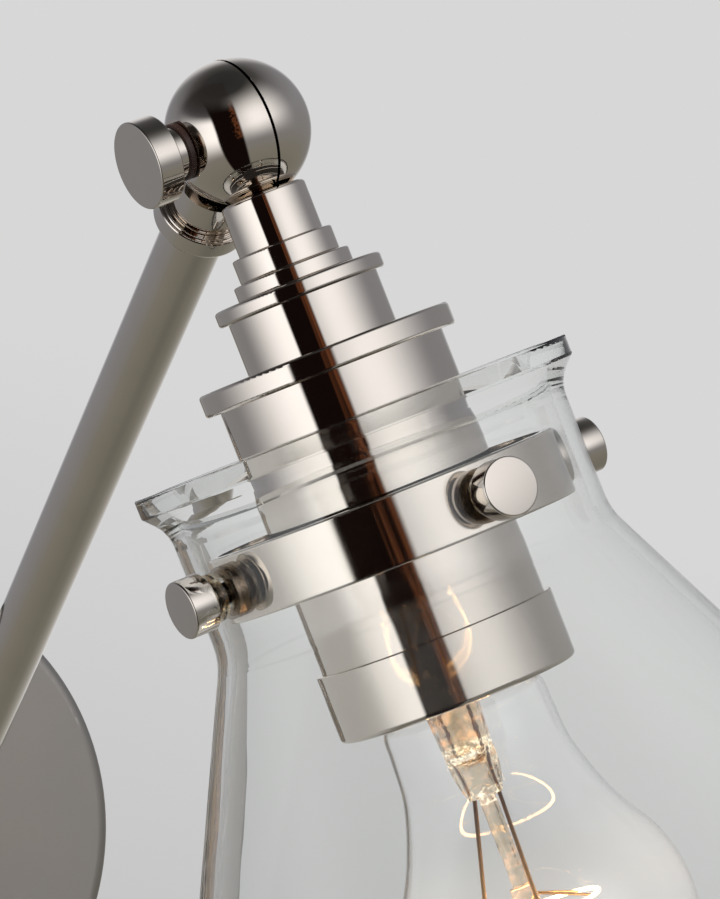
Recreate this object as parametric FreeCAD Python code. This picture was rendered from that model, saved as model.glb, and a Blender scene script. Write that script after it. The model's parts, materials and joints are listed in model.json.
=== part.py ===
"""Library wall light: a round backplate, a straight arm between two ball swivels and a clear glass shade.

The wall is the plane y = 0, the light reaches out along -Y, +Z is up and the origin is the plate's middle.
Both swivels turn about lines parallel to X, and their clamp knobs are on the -X side.
"""
import FreeCAD, Part
import math
import os

from FreeCAD import Placement, Rotation, Vector

# Clearances
SEAT = 0.05              # a turned piece on the spigot, tube or nipple that carries it
RUNNING = 0.06           # a stud or screw that turns in its hole
FACE_GAP = 0.05          # flat faces that slide on each other
STEM_GAP = 0.5           # far half ball over the hollow in the stem's top
NECK_GAP = 2.0           # knob half ball over the flat top of the arm's neck
CUT_ROOM = 1.0           # how far a cutting tool runs past the faces that it cuts
ROUND_SHARE = 0.49       # most of a side that one rounding may take

# How the light stands
ARM_RISE = 32.2          # degrees above the horizontal
ARM_SPAN = 298.0         # from ball centre to ball centre
SHADE_TILT = 9.2         # degrees outward from straight down

# Ball swivel
BALL_R = 13.6
SEAM = 0.6
STEM_R = 8.2
STEM_SINK = 1.3          # how far the stem's top lies inside the ball's outline
STEM_REACH = 8.5         # from the ball's outline to the stem's lower end
STEM_EDGE = 0.8
NECK_R = 7.5
NECK_REACH = 10.9        # from the ball's outline to the end of the arm's neck
SPIGOT_REACH = 14.0      # how far the neck's spigot goes into the arm tube
WIRE_BORE_R = 2.6
WIRE_GROOVE_R = 7.4
WIRE_GROOVE_DEPTH = 2.4
STUD_LAND = 1.0          # metal left between the stud's hole and the wire groove

# Clamp knob
STUD_R = 2.5
STUD_REACH = 7.5         # past the seam into the far half ball
STUD_END_ROOM = 0.8
SPOT_DEPTH = 1.4         # flat on the ball under the washer
WASHER_R = 5.4
WASHER_T = 1.5
KNOB_STEP_R = 4.9
KNOB_STEP_T = 3.15
KNOB_R = 8.25
KNOB_T = 4.9
KNOB_EDGE = 0.35

# Arm
TUBE_R = 6.2
TUBE_WALL = 1.0
FERRULE_R = 9.3
FERRULE_LENGTH = 5.4
FERRULE_LAP = 0.4        # how far the ferrule's rim stands up round the neck's end
FERRULE_FOOT = 0.5       # metal round the tube at the ferrule's narrow end
BEAD_HALF = 0.3          # half the width of each bead round the rim
BEAD_RISE = 0.35
BEAD_R = 8.1             # middle of the inner bead

# Stepped rings, used under the socket stem and on the backplate
RING_SMALL_R = 9.75
RING_SMALL_T = 4.7
RING_LARGE_R = 11.3
RING_LARGE_T = 3.0
RING_EDGE = 0.4

# Threaded nipple and its nut
NIPPLE_R = 5.0
NIPPLE_BORE_R = 3.4
NIPPLE_ENGAGED = 6.0     # thread inside the stem
NUT_FLATS = 14.0
NUT_T = 3.0
NUT_EDGE = 0.7           # height of the slope that takes off the nut's corners

# Wall fittings
PLATE_R = 63.5
PLATE_DEPTH = 18.0
PLATE_WALL = 1.2
PLATE_EDGE = 3.5
STRAP_LENGTH = 108.0
STRAP_WIDTH = 18.0
STRAP_T = 2.0
SLOT_SPACING = 79.4
SLOT_LENGTH = 14.0
SLOT_WIDTH = 4.6
GROUND_X = 21.0
GROUND_R = 2.0
GROUND_HEAD_R = 4.0
GROUND_HEAD_T = 2.6
GROUND_HEAD_EDGE = 0.6
GROUND_SLOT_WIDTH = 0.9
GROUND_SLOT_DEPTH = 1.1

# Flanged cap and socket cup
CAP_FLANGE_R = 16.3
CAP_FLANGE_T = 3.1
CAP_R = 14.6
CAP_HEIGHT = 13.2
CAP_WALL = 1.4
FLANGE_EDGE = 0.7
LID_R = 24.6
LID_T = 4.4
LID_TOP_T = 2.2
CUP_R = 21.9
CUP_WALL = 1.2
SOCKET_LENGTH = 69.4     # from the lid's top to the collar's lower edge
COLLAR_R = 23.15
COLLAR_HEIGHT = 13.2
COLLAR_WALL = 3.2        # below the cup's edge
COLLAR_LAP = 6.0         # cup wall inside the collar
COLLAR_LIP_R = 18.6
COLLAR_LIP_T = 1.6
COLLAR_EDGE = 1.0
COLLAR_TOP_EDGE = 0.35
COLLAR_LIP_EDGE = 0.5

# Lampholder
HOLDER_TOP_DROP = 9.0    # below the lid's top
HOLDER_TOP_R = 14.0
HOLDER_R = 18.5
HOLDER_NECK = 6.0        # height of the narrow top
HOLDER_SHOULDER = 4.0    # height of the slope below it
HOLDER_LENGTH = 48.5
HOLDER_EDGE = 1.0
SHELL_R = 14.4
SHELL_WALL = 0.7
SHELL_LENGTH = 26.0
SHELL_EYE_R = 6.0
CONTACT_T = 0.5
CONTACT_WIDTH = 5.0
CONTACT_KNEE = 2.6       # where the leaf leaves the floor
CONTACT_ROOM = 1.0       # between the leaf's foot and the shell's eye
TERMINAL_X = 9.6
TERMINAL_R = 1.5
TERMINAL_HEAD_R = 2.6
TERMINAL_HEAD_T = 1.7
TERMINAL_HEAD_EDGE = 0.5
TERMINAL_SLOT_WIDTH = 0.7
TERMINAL_SLOT_DEPTH = 0.7
TERMINAL_DEPTH = 5.0
TERMINAL_HOLE_ROOM = 1.0

# Gallery
GALLERY_DROP = 34.75     # from the lid's top to the line of the thumb screws
GALLERY_R = 34.0
GALLERY_WALL = 2.4
GALLERY_HEIGHT = 12.5
GALLERY_EDGE = 0.5
WEB_T = 1.6
WEB_SINK = 1.2           # below the ring's upper edge
WEB_WINDOWS = 6
WEB_WINDOW_SPAN = 40.0   # degrees
WEB_RIM = 2.4            # metal left beside each window
BOSS_R = 5.0
BOSS_REACH = 1.6

# Thumb screws
SCREWS = 4
SCREW_R = 2.5
SCREW_POINT = 1.2        # inside the ring's wall
SCREW_POINT_EDGE = 0.5
SCREW_HEAD_R = 5.45
SCREW_HEAD_T = 5.2
SCREW_HEAD_EDGE = 0.4
SCREW_HEAD_ROOM = 1.35   # bare shank between washer and head
SLEEVE_WALL = 0.55
SLEEVE_FLANGE_R = 4.5
SLEEVE_FLANGE_T = 1.0

# Glass shade
GLASS_WALL = 2.6
GLASS_NECK_R = 38.7
GLASS_LIP_R = 42.5
GLASS_LIP_T = 3.7
GLASS_LIP_WALL = 3.5     # across the lip's flat top
GLASS_LIP_EDGE = 0.35    # along the lip's ground top
GLASS_LIP_UNDER = 0.9    # rounding below the lip
GLASS_LIP_RISE = 21.2    # above the line of the screws
GLASS_THROAT = 7.8       # from the lip's top to where the flare's slope would meet the neck
GLASS_THROAT_ROUND = 10.5
GLASS_THROAT_IN_ROUND = 20.0
GLASS_NECK_DROP = 11.7   # below the line of the screws
GLASS_CONE = 26.0        # half angle, degrees
GLASS_HEIGHT = 146.6
GLASS_SHOULDER = 12.0    # rounding between neck and cone
GLASS_RIM_EDGE = 0.6
GLASS_HOLE_ROOM = 0.15

# Lamp bulb envelope
BULB_R = 28.1
BULB_WALL = 0.8
BULB_CENTRE_DROP = 46.5  # below the collar's lower edge
BULB_NECK_R = 16.0
BULB_NECK_DROP = 2.4
BULB_WAIST_R = 16.7
BULB_WAIST_DROP = 14.5
BULB_SHOULDER_R = 19.9
BULB_SHOULDER_DROP = 24.2
BULB_MEET = 58.0         # degrees from the axis where the shoulder runs into the round end
BULB_SEAL_R = 12.0
BULB_SEAL_LENGTH = 7.5   # narrow neck inside the cap

# Lamp bulb cap
CAP_SKIRT_R = 13.1
CAP_SKIRT_WALL = 0.9
CAP_LENGTH = 23.0
CAP_RISE = 1.0           # cap's lower edge above the collar's lower edge
CAP_CONE = 3.0           # height of the slope from the insulator to the threads
CAP_BAND = 1.5           # plain band below the threads
CAP_THREADS = 5
CAP_PITCH = 3.2
CAP_THREAD_DEPTH = 0.55
CAP_SHEET = 0.7          # the cap's metal where it grips the insulator
TIP_R = 4.0
TIP_FACE_R = 2.4
TIP_T = 1.0
TIP_EDGE = 0.5
INSULATOR_R = 5.8
INSULATOR_FACE_R = 4.3
INSULATOR_T = 1.8

# Glass foot, wires and filament inside the bulb
FOOT_TOP_R = 5.6
FOOT_R = 4.7
FOOT_WALL = 0.9
FOOT_FLARE_T = 1.2
PRESS_DROP = 9.5         # below the collar's lower edge
PRESS_LENGTH = 9.0
PRESS_THICK_R = 2.3
PRESS_END_R = 3.4
STALK_R = 1.6
STALK_DROP = 41.0
BUTTON_R = 2.4
LEAD_R = 0.4
LEAD_SPREAD = 2.9        # of each wire from the axis inside the foot
HOOK_R = 0.25
FILAMENT_R = 0.4
FILAMENT_SPREAD = 13.0
FILAMENT_DROP = 42.0
FILAMENT_SPAN = 305.0    # degrees
FILAMENT_TURN = 138.0    # degrees from +X to the middle of the gap between its ends
FILAMENT_HOLDERS = 4
FOOT_SHIFT = Vector(-1.6, -0.85, 0)     # the foot stands off the bulb's axis

# Places worked out from the sizes, as distances along each piece's own axis
SEAM_BLOCK = 6 * BALL_R
STEM_TOP = BALL_R - STEM_SINK
STEM_END = BALL_R + STEM_REACH
NECK_TOP = BALL_R + NECK_GAP
NECK_END = BALL_R + NECK_REACH
SPOT_X = BALL_R - SPOT_DEPTH
KNOB_START = SPOT_X + FACE_GAP + WASHER_T
KNOB_STEP_END = KNOB_START + KNOB_STEP_T
STUD_END = KNOB_STEP_END + KNOB_T / 2
CORE_R = STUD_R + RUNNING + STUD_LAND
CAP_TOP = STEM_END + RING_SMALL_T + RING_LARGE_T
LID_TOP = CAP_TOP + CAP_HEIGHT
COLLAR_END = LID_TOP + SOCKET_LENGTH
COLLAR_TOP = COLLAR_END - COLLAR_HEIGHT
CUP_END = COLLAR_TOP + COLLAR_LAP
SCREW_LINE = LID_TOP + GALLERY_DROP
GALLERY_TOP = SCREW_LINE - GALLERY_HEIGHT / 2
HOLDER_TOP = LID_TOP + HOLDER_TOP_DROP
HOLDER_END = HOLDER_TOP + HOLDER_LENGTH
HOLDER_FLOOR = HOLDER_END - SHELL_LENGTH
LIP_TOP = SCREW_LINE - GLASS_LIP_RISE
GLASS_BEND = SCREW_LINE + GLASS_NECK_DROP
GLASS_RIM = LIP_TOP + GLASS_HEIGHT
CAP_END = COLLAR_END - CAP_RISE
CAP_START = CAP_END - CAP_LENGTH
SEAL_TOP = CAP_END - BULB_SEAL_LENGTH
TIP_BASE = CAP_START - INSULATOR_T
BULB_CENTRE = COLLAR_END + BULB_CENTRE_DROP
FOOT_TOP = SEAL_TOP + BULB_WALL
PRESS_TOP = COLLAR_END + PRESS_DROP
PRESS_END = PRESS_TOP + PRESS_LENGTH
STALK_END = COLLAR_END + STALK_DROP
FILAMENT = COLLAR_END + FILAMENT_DROP
FILAMENT_GAP = (360 - FILAMENT_SPAN) / 2
KNUCKLE_Y = -(PLATE_DEPTH + RING_LARGE_T + RING_SMALL_T + STEM_END)

# Places in the part's own frame
LOWER_BALL = Vector(0, KNUCKLE_Y, 0)
RISE = math.radians(ARM_RISE)
UPPER_BALL = LOWER_BALL + Vector(0, -math.cos(RISE), math.sin(RISE)) * ARM_SPAN
TOWARDS_WALL = Placement(LOWER_BALL, Rotation(Vector(1, 0, 0), -90))
OUT_OF_WALL = Placement(Vector(0, 0, 0), Rotation(Vector(1, 0, 0), 90))
UP_THE_ARM = Placement(LOWER_BALL, Rotation(Vector(1, 0, 0), 90 - ARM_RISE))
DOWN_THE_ARM = Placement(UPPER_BALL, Rotation(Vector(1, 0, 0), 270 - ARM_RISE))
DOWN_THE_SOCKET = Placement(UPPER_BALL, Rotation(Vector(1, 0, 0), 180 - SHADE_TILT))
AXIS = Vector(0, 0, 1)
ORIGIN = Vector(0, 0, 0)


# Helpers

def flat(point):
    """A point of a turned outline, given as (radius, height along the axis)."""
    return Vector(point[0], 0, point[1])


def high(height):
    """A point on the axis."""
    return Vector(0, 0, height)


def outline_edges(corners):
    """Closed outline through (radius, height[, rounding]) corners, with an arc at each rounded one.

    A rounding is limited to the length of the two sides that it joins.
    """
    enters = []
    leaves = []
    arcs = []
    for i, corner in enumerate(corners):
        here = flat(corner)
        if len(corner) < 3:
            enters.append(here)
            leaves.append(here)
            arcs.append(None)
            continue
        back = flat(corners[i - 1]) - here
        ahead = flat(corners[(i + 1) % len(corners)]) - here
        room = ROUND_SHARE * min(back.Length, ahead.Length)
        back.normalize()
        ahead.normalize()
        half = back.getAngle(ahead) / 2
        reach = min(corner[2] / math.tan(half), room)
        rounding = reach * math.tan(half)
        middle = (back + ahead).normalize()
        top = here + middle * (rounding / math.sin(half) - rounding)
        enters.append(here + back * reach)
        leaves.append(here + ahead * reach)
        arcs.append(Part.Arc(enters[-1], top, leaves[-1]).toShape())
    edges = []
    for i, arc in enumerate(arcs):
        if arc:
            edges.append(arc)
        edges.append(Part.LineSegment(leaves[i], enters[(i + 1) % len(corners)]).toShape())
    return edges


def spin(edges):
    """The solid swept by a closed outline that turns about the axis."""
    face = Part.Face(Part.Wire(Part.__sortEdges__(edges)))
    solid = face.revolve(ORIGIN, AXIS, 360)
    return Part.makeSolid(solid) if solid.ShapeType != "Solid" else solid


def turned(*corners):
    return spin(outline_edges(corners))


def tube(outer, inner, start, end):
    return turned((inner, start), (outer, start), (outer, end), (inner, end))


def rod(radius, start, end):
    """A round bar between two points."""
    run = end - start
    return Part.makeCylinder(radius, run.Length, start, run)


def wire(radius, points):
    """A round wire through points, rounded at its knees."""
    shape = rod(radius, points[0], points[1])
    for start, end in zip(points[1:], points[2:]):
        shape = shape.fuse(Part.makeSphere(radius, start)).fuse(rod(radius, start, end))
    return shape


def beside_seam(side, reach):
    """A block that holds everything on one side of the seam's plane at side * reach along X."""
    corner = Vector(reach, -SEAM_BLOCK / 2, -SEAM_BLOCK / 2)
    block = Part.makeBox(SEAM_BLOCK, SEAM_BLOCK, SEAM_BLOCK, corner)
    return block if side > 0 else block.mirror(ORIGIN, Vector(1, 0, 0))


def hex_prism(flats, start, height):
    radius = flats / math.sqrt(3)
    points = []
    for k in range(7):
        angle = math.radians(60 * k)
        points.append(Vector(radius * math.cos(angle), radius * math.sin(angle), start))
    return Part.Face(Part.makePolygon(points)).extrude(high(height))


def screw_slot(width, depth, radius, face, into):
    """Cutter for a driver's slot across a screw's head, from its face at a height, into it along +-Z."""
    length = 2 * (radius + CUT_ROOM)
    low = min(face - into * CUT_ROOM, face + into * depth)
    return Part.makeBox(length, width, depth + CUT_ROOM, Vector(-length / 2, -width / 2, low))


def joined(shapes):
    """Several separate solids as one group."""
    return Part.makeCompound(shapes)


def around(shape, count):
    """Copies of a shape spread evenly about the axis, the first one as given."""
    copies = []
    for k in range(count):
        copies.append(shape.copy().rotate(ORIGIN, AXIS, 360.0 * k / count))
    return copies


def placed(shape, placement):
    moved = shape.copy()
    moved.Placement = placement.multiply(moved.Placement)
    return moved


# Ball swivel

def half_ball(side):
    """Half of the ball, with the groove in its seam face where the wires go round the stud."""
    ball = Part.makeSphere(BALL_R).common(beside_seam(side, SEAM / 2))
    groove_start = Vector(side * SEAM / 2, 0, 0)
    across = Vector(side, 0, 0)
    groove = Part.makeCylinder(WIRE_GROOVE_R, WIRE_GROOVE_DEPTH, groove_start, across)
    core = Part.makeCylinder(CORE_R, WIRE_GROOVE_DEPTH, groove_start, across)
    return ball.cut(groove.cut(core))


def wire_way(end):
    """Bore for the wires, from the groove round the stud out along the axis."""
    return rod(WIRE_BORE_R, high((CORE_R + WIRE_GROOVE_R) / 2), high(end))


def knob_half(nipple_end):
    """The half ball under the knob, with the stem that it carries and the stem's threaded end."""
    side = -1
    stem = turned((0, STEM_TOP), (STEM_R, STEM_TOP, STEM_EDGE), (STEM_R, STEM_END, RING_EDGE / 2),
                  (0, STEM_END))
    stem = stem.cut(Part.makeSphere(BALL_R + STEM_GAP).common(beside_seam(-side, -SEAM / 2)))
    piece = half_ball(side).fuse(stem)
    piece = piece.cut(beside_seam(side, SPOT_X))
    piece = piece.cut(rod(STUD_R + RUNNING, Vector(-BALL_R, 0, 0), Vector(BALL_R, 0, 0)))
    piece = piece.cut(wire_way(STEM_END))
    return piece.cut(rod(NIPPLE_R + SEAT, high(nipple_end), high(STEM_END + CUT_ROOM)))


def arm_half():
    """The far half ball, with the arm's neck and the spigot that goes into the arm tube."""
    side = 1
    spigot_r = TUBE_R - TUBE_WALL - SEAT
    spigot_end = NECK_END + SPIGOT_REACH
    neck = turned((0, 0), (NECK_R, 0), (NECK_R, NECK_END), (spigot_r, NECK_END),
                  (spigot_r, spigot_end, RING_EDGE), (0, spigot_end))
    above_neck = beside_seam(-side, -SEAM / 2)
    above_neck.translate(high(NECK_TOP - SEAM_BLOCK / 2))
    neck = neck.cut(above_neck)
    neck = neck.cut(Part.makeSphere(BALL_R - STUD_LAND))
    piece = half_ball(side).fuse(neck)
    hole_end = Vector(STUD_REACH + STUD_END_ROOM, 0, 0)
    piece = piece.cut(rod(STUD_R + RUNNING, Vector(-BALL_R, 0, 0), hole_end))
    return piece.cut(wire_way(spigot_end + CUT_ROOM))


def clamp_knob():
    """Knob head and its step, turned about the stud, facing -X when placed."""
    face = KNOB_STEP_END + KNOB_T
    bore = STUD_R + SEAT
    return turned((bore, KNOB_START), (KNOB_STEP_R, KNOB_START), (KNOB_STEP_R, KNOB_STEP_END),
                  (KNOB_R, KNOB_STEP_END, KNOB_EDGE), (KNOB_R, face, KNOB_EDGE), (0, face),
                  (0, STUD_END), (bore, STUD_END))


def clamp_washer():
    start = SPOT_X + FACE_GAP
    bore = STUD_R + SEAT
    return turned((bore, start), (WASHER_R, start, RING_EDGE), (WASHER_R, KNOB_START, RING_EDGE),
                  (bore, KNOB_START))


def clamp_stud():
    return turned((0, -STUD_REACH), (STUD_R, -STUD_REACH, RING_EDGE), (STUD_R, STUD_END), (0, STUD_END))


def sideways(centre):
    """Placement that points an axis along -X from a ball's centre."""
    return Placement(centre, Rotation(Vector(0, 1, 0), -90))


# Arm

def arm_tube():
    start = NECK_END + FACE_GAP
    return tube(TUBE_R, TUBE_R - TUBE_WALL, start, ARM_SPAN - start)


def ferrule():
    """Cup over the tube's end, with two beads round its rim, rounded down onto the tube."""
    rim = NECK_END - FERRULE_LAP
    crest = rim - BEAD_RISE
    inner = NECK_R + SEAT
    bore = TUBE_R + SEAT
    foot_r = bore + FERRULE_FOOT
    ledge = NECK_END + FACE_GAP
    end = rim + FERRULE_LENGTH
    corners = [(inner, rim)]
    for bead_r in (BEAD_R, FERRULE_R - BEAD_HALF):
        corners += [(bead_r - BEAD_HALF, rim), (bead_r, crest, BEAD_HALF), (bead_r + BEAD_HALF, rim)]
    corners += [(FERRULE_R, end - FERRULE_FOOT, FERRULE_R - foot_r), (foot_r, end - FERRULE_FOOT),
                (foot_r, end), (bore, end), (bore, ledge), (inner, ledge)]
    return turned(*corners)


# Stepped rings, nipples and nuts

def stepped_ring(radius, height, start):
    bore = NIPPLE_R + SEAT
    end = start + height
    return turned((bore, start), (radius, start, RING_EDGE), (radius, end, RING_EDGE), (bore, end))


def nipple(start, end):
    return tube(NIPPLE_R, NIPPLE_BORE_R, start, end)


def lock_nut(start):
    """Hexagon nut whose corners are taken off on both sides."""
    end = start + NUT_T
    corner_r = NUT_FLATS / math.sqrt(3)
    face_r = NUT_FLATS / 2
    cone = turned((0, start), (face_r, start), (corner_r, start + NUT_EDGE), (corner_r, end - NUT_EDGE),
                  (face_r, end), (0, end))
    hole = rod(NIPPLE_R + SEAT, high(start - CUT_ROOM), high(end + CUT_ROOM))
    return hex_prism(NUT_FLATS, start, NUT_T).common(cone).cut(hole)


# Wall fittings, with heights measured out of the wall

def backplate():
    inside_r = PLATE_R - PLATE_WALL
    inside_depth = PLATE_DEPTH - PLATE_WALL
    hole = NIPPLE_R + SEAT
    return turned((inside_r, 0), (PLATE_R, 0), (PLATE_R, PLATE_DEPTH, PLATE_EDGE), (hole, PLATE_DEPTH),
                  (hole, inside_depth), (inside_r, inside_depth, PLATE_EDGE - PLATE_WALL))


def round_ended_bar(length, width, start, end):
    """A flat bar along X with round ends, between two heights."""
    reach = (length - width) / 2
    bar = Part.makeBox(2 * reach, width, end - start, Vector(-reach, -width / 2, start))
    for x in (-reach, reach):
        bar = bar.fuse(rod(width / 2, Vector(x, 0, start), Vector(x, 0, end)))
    return bar.removeSplitter()


def mounting_strap():
    """Flat bar against the wall with a slot near each end and the nipple's hole in the middle."""
    low = -CUT_ROOM
    high_end = STRAP_T + CUT_ROOM
    bar = round_ended_bar(STRAP_LENGTH, STRAP_WIDTH, 0, STRAP_T)
    for x in (-SLOT_SPACING / 2, SLOT_SPACING / 2):
        slot = round_ended_bar(SLOT_LENGTH, SLOT_WIDTH, low, high_end)
        slot.translate(Vector(x, 0, 0))
        bar = bar.cut(slot)
    bar = bar.cut(rod(NIPPLE_R + SEAT, high(low), high(high_end)))
    return bar.cut(rod(GROUND_R + SEAT, Vector(GROUND_X, 0, low), Vector(GROUND_X, 0, high_end)))


def ground_screw():
    top = STRAP_T + GROUND_HEAD_T
    screw = turned((0, 0), (GROUND_R, 0), (GROUND_R, STRAP_T), (GROUND_HEAD_R, STRAP_T),
                   (GROUND_HEAD_R, top, GROUND_HEAD_EDGE), (0, top))
    screw = screw.cut(screw_slot(GROUND_SLOT_WIDTH, GROUND_SLOT_DEPTH, GROUND_HEAD_R, top, -1))
    screw.translate(Vector(GROUND_X, 0, 0))
    return screw


# Socket, with heights measured down its axis from the ball's centre

def flanged_cap():
    hole = NIPPLE_R + SEAT
    inside = CAP_R - CAP_WALL
    flange_end = CAP_TOP + CAP_FLANGE_T
    return turned((hole, CAP_TOP), (CAP_FLANGE_R, CAP_TOP, FLANGE_EDGE),
                  (CAP_FLANGE_R, flange_end, FLANGE_EDGE), (CAP_R, flange_end), (CAP_R, LID_TOP),
                  (inside, LID_TOP), (inside, flange_end), (hole, flange_end))


def socket_cup():
    hole = NIPPLE_R + SEAT
    inside = CUP_R - CUP_WALL
    lid_end = LID_TOP + LID_T
    ceiling = LID_TOP + LID_TOP_T
    return turned((hole, LID_TOP), (LID_R, LID_TOP, FLANGE_EDGE), (LID_R, lid_end, FLANGE_EDGE),
                  (CUP_R, lid_end), (CUP_R, CUP_END), (inside, CUP_END), (inside, ceiling), (hole, ceiling))


def bottom_collar():
    bore = CUP_R + SEAT
    ledge = CUP_END + FACE_GAP
    inside = COLLAR_R - COLLAR_WALL
    lip_top = COLLAR_END - COLLAR_LIP_T
    return turned((bore, COLLAR_TOP), (COLLAR_R, COLLAR_TOP, COLLAR_TOP_EDGE),
                  (COLLAR_R, COLLAR_END, COLLAR_EDGE), (COLLAR_LIP_R, COLLAR_END, COLLAR_LIP_EDGE),
                  (COLLAR_LIP_R, lip_top), (inside, lip_top), (inside, ledge), (bore, ledge))


def lampholder_body():
    """Porcelain body: threaded on the nipple at its top, open below for the screw shell."""
    neck_end = HOLDER_TOP + HOLDER_NECK
    shoulder = neck_end + HOLDER_SHOULDER
    hole = NIPPLE_R + SEAT
    nipple_end = HOLDER_TOP + NIPPLE_ENGAGED + FACE_GAP
    inside = SHELL_R + SEAT
    body = turned((hole, HOLDER_TOP), (HOLDER_TOP_R, HOLDER_TOP, HOLDER_EDGE),
                  (HOLDER_TOP_R, neck_end, HOLDER_EDGE), (HOLDER_R, shoulder, 2 * HOLDER_EDGE),
                  (HOLDER_R, HOLDER_END, HOLDER_EDGE), (inside, HOLDER_END), (inside, HOLDER_FLOOR),
                  (WIRE_BORE_R, HOLDER_FLOOR), (WIRE_BORE_R, nipple_end), (hole, nipple_end))
    hole_end = HOLDER_TOP + TERMINAL_DEPTH + TERMINAL_HOLE_ROOM
    for x in (-TERMINAL_X, TERMINAL_X):
        start = Vector(x, 0, HOLDER_TOP - CUT_ROOM)
        body = body.cut(rod(TERMINAL_R + SEAT, start, Vector(x, 0, hole_end)))
    return body


def terminal_screws():
    head = HOLDER_TOP - TERMINAL_HEAD_T
    end = HOLDER_TOP + TERMINAL_DEPTH
    screws = []
    for x in (-TERMINAL_X, TERMINAL_X):
        screw = turned((0, head), (TERMINAL_HEAD_R, head, TERMINAL_HEAD_EDGE), (TERMINAL_HEAD_R, HOLDER_TOP),
                       (TERMINAL_R, HOLDER_TOP), (TERMINAL_R, end), (0, end))
        screw = screw.cut(screw_slot(TERMINAL_SLOT_WIDTH, TERMINAL_SLOT_DEPTH, TERMINAL_HEAD_R, head, 1))
        screw.translate(Vector(x, 0, 0))
        screws.append(screw)
    return joined(screws)


def screw_shell():
    inside = SHELL_R - SHELL_WALL
    floor = HOLDER_FLOOR + SHELL_WALL
    return turned((SHELL_EYE_R, HOLDER_FLOOR), (SHELL_R, HOLDER_FLOOR), (SHELL_R, HOLDER_END),
                  (inside, HOLDER_END), (inside, floor), (SHELL_EYE_R, floor))


def centre_contact():
    """Spring leaf on the lampholder's floor that reaches to the bulb's tip."""
    foot = SHELL_EYE_R - CONTACT_ROOM
    top = HOLDER_FLOOR + CONTACT_T
    touch = TIP_BASE - TIP_T - FACE_GAP
    under = touch - CONTACT_T
    line = [(-foot, HOLDER_FLOOR), (-CONTACT_KNEE, HOLDER_FLOOR), (CONTACT_T, under), (TIP_FACE_R, under),
            (TIP_FACE_R, touch), (0, touch), (-CONTACT_KNEE - CONTACT_T, top), (-foot, top)]
    points = []
    for x, height in line + line[:1]:
        points.append(Vector(x, -CONTACT_WIDTH / 2, height))
    return Part.Face(Part.makePolygon(points)).extrude(Vector(0, CONTACT_WIDTH, 0))


# Gallery and shade

def gallery_web():
    """Plate between the cup and the gallery ring, with windows that let the heat out."""
    start = GALLERY_TOP + WEB_SINK
    inner = CUP_R + SEAT
    outer = GALLERY_R - GALLERY_WALL - SEAT
    web = tube(outer, inner, start, start + WEB_T)
    base = high(start - CUT_ROOM)
    depth = WEB_T + 2 * CUT_ROOM
    wide = Part.makeCylinder(outer - WEB_RIM, depth, base, AXIS, WEB_WINDOW_SPAN)
    window = wide.cut(Part.makeCylinder(inner + WEB_RIM, depth, base))
    for cutter in around(window, WEB_WINDOWS):
        web = web.cut(cutter)
    return web


def radial(radius, start, end):
    """A round bar across the axis, along X, on the line of the thumb screws."""
    return rod(radius, Vector(start, 0, SCREW_LINE), Vector(end, 0, SCREW_LINE))


def gallery_ring():
    inner = GALLERY_R - GALLERY_WALL
    end = GALLERY_TOP + GALLERY_HEIGHT
    ring = turned((inner, GALLERY_TOP), (GALLERY_R, GALLERY_TOP, GALLERY_EDGE),
                  (GALLERY_R, end, GALLERY_EDGE), (inner, end))
    for cutter in around(radial(SCREW_R + RUNNING, inner - CUT_ROOM, GALLERY_R + CUT_ROOM), SCREWS):
        ring = ring.cut(cutter)
    return ring


def screw_bosses():
    """Discs on the ring where the screws come through, hollowed to sit on its round side."""
    face = GALLERY_R + BOSS_REACH
    boss = radial(BOSS_R, GALLERY_R - GALLERY_WALL, face)
    boss = boss.cut(radial(SCREW_R + RUNNING, 0, face + CUT_ROOM))
    boss = boss.cut(rod(GALLERY_R + SEAT, ORIGIN, high(GLASS_RIM)))
    return joined(around(boss, SCREWS))


def glass_shade():
    """Blown shade: a thick flared lip, a straight neck with the screws' holes, and a cone."""
    cone = math.radians(GLASS_CONE)
    aslant = GLASS_WALL / math.cos(cone)
    rim_r = GLASS_NECK_R + (GLASS_RIM - GLASS_BEND) * math.tan(cone)
    neck_in = GLASS_NECK_R - GLASS_WALL
    bend_in = GLASS_BEND + (aslant - GLASS_WALL) / math.tan(cone)
    throat = LIP_TOP + GLASS_THROAT
    shade = turned((GLASS_LIP_R - GLASS_LIP_WALL, LIP_TOP, GLASS_LIP_EDGE),
                   (GLASS_LIP_R, LIP_TOP, GLASS_LIP_EDGE),
                   (GLASS_LIP_R, LIP_TOP + GLASS_LIP_T, GLASS_LIP_UNDER),
                   (GLASS_NECK_R, throat, GLASS_THROAT_ROUND),
                   (GLASS_NECK_R, GLASS_BEND, GLASS_SHOULDER), (rim_r, GLASS_RIM, GLASS_RIM_EDGE),
                   (rim_r - aslant, GLASS_RIM, GLASS_RIM_EDGE),
                   (neck_in, bend_in, GLASS_SHOULDER + GLASS_WALL),
                   (neck_in, throat, GLASS_THROAT_IN_ROUND))
    hole_r = SCREW_R + RUNNING + SLEEVE_WALL + GLASS_HOLE_ROOM
    for cutter in around(radial(hole_r, neck_in - CUT_ROOM, GLASS_NECK_R + CUT_ROOM), SCREWS):
        shade = shade.cut(cutter)
    return shade


def screw_sleeves():
    """Clear sleeves through the glass, each with a washer-like flange under the screw's head."""
    inner_end = GALLERY_R + BOSS_REACH + FACE_GAP
    flange = GLASS_NECK_R + FACE_GAP
    flange_end = flange + SLEEVE_FLANGE_T
    sleeve = radial(SCREW_R + RUNNING + SLEEVE_WALL, inner_end, flange)
    sleeve = sleeve.fuse(radial(SLEEVE_FLANGE_R, flange, flange_end)).removeSplitter()
    sleeve = sleeve.cut(radial(SCREW_R + RUNNING, 0, flange_end + CUT_ROOM))
    return joined(around(sleeve, SCREWS))


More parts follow.
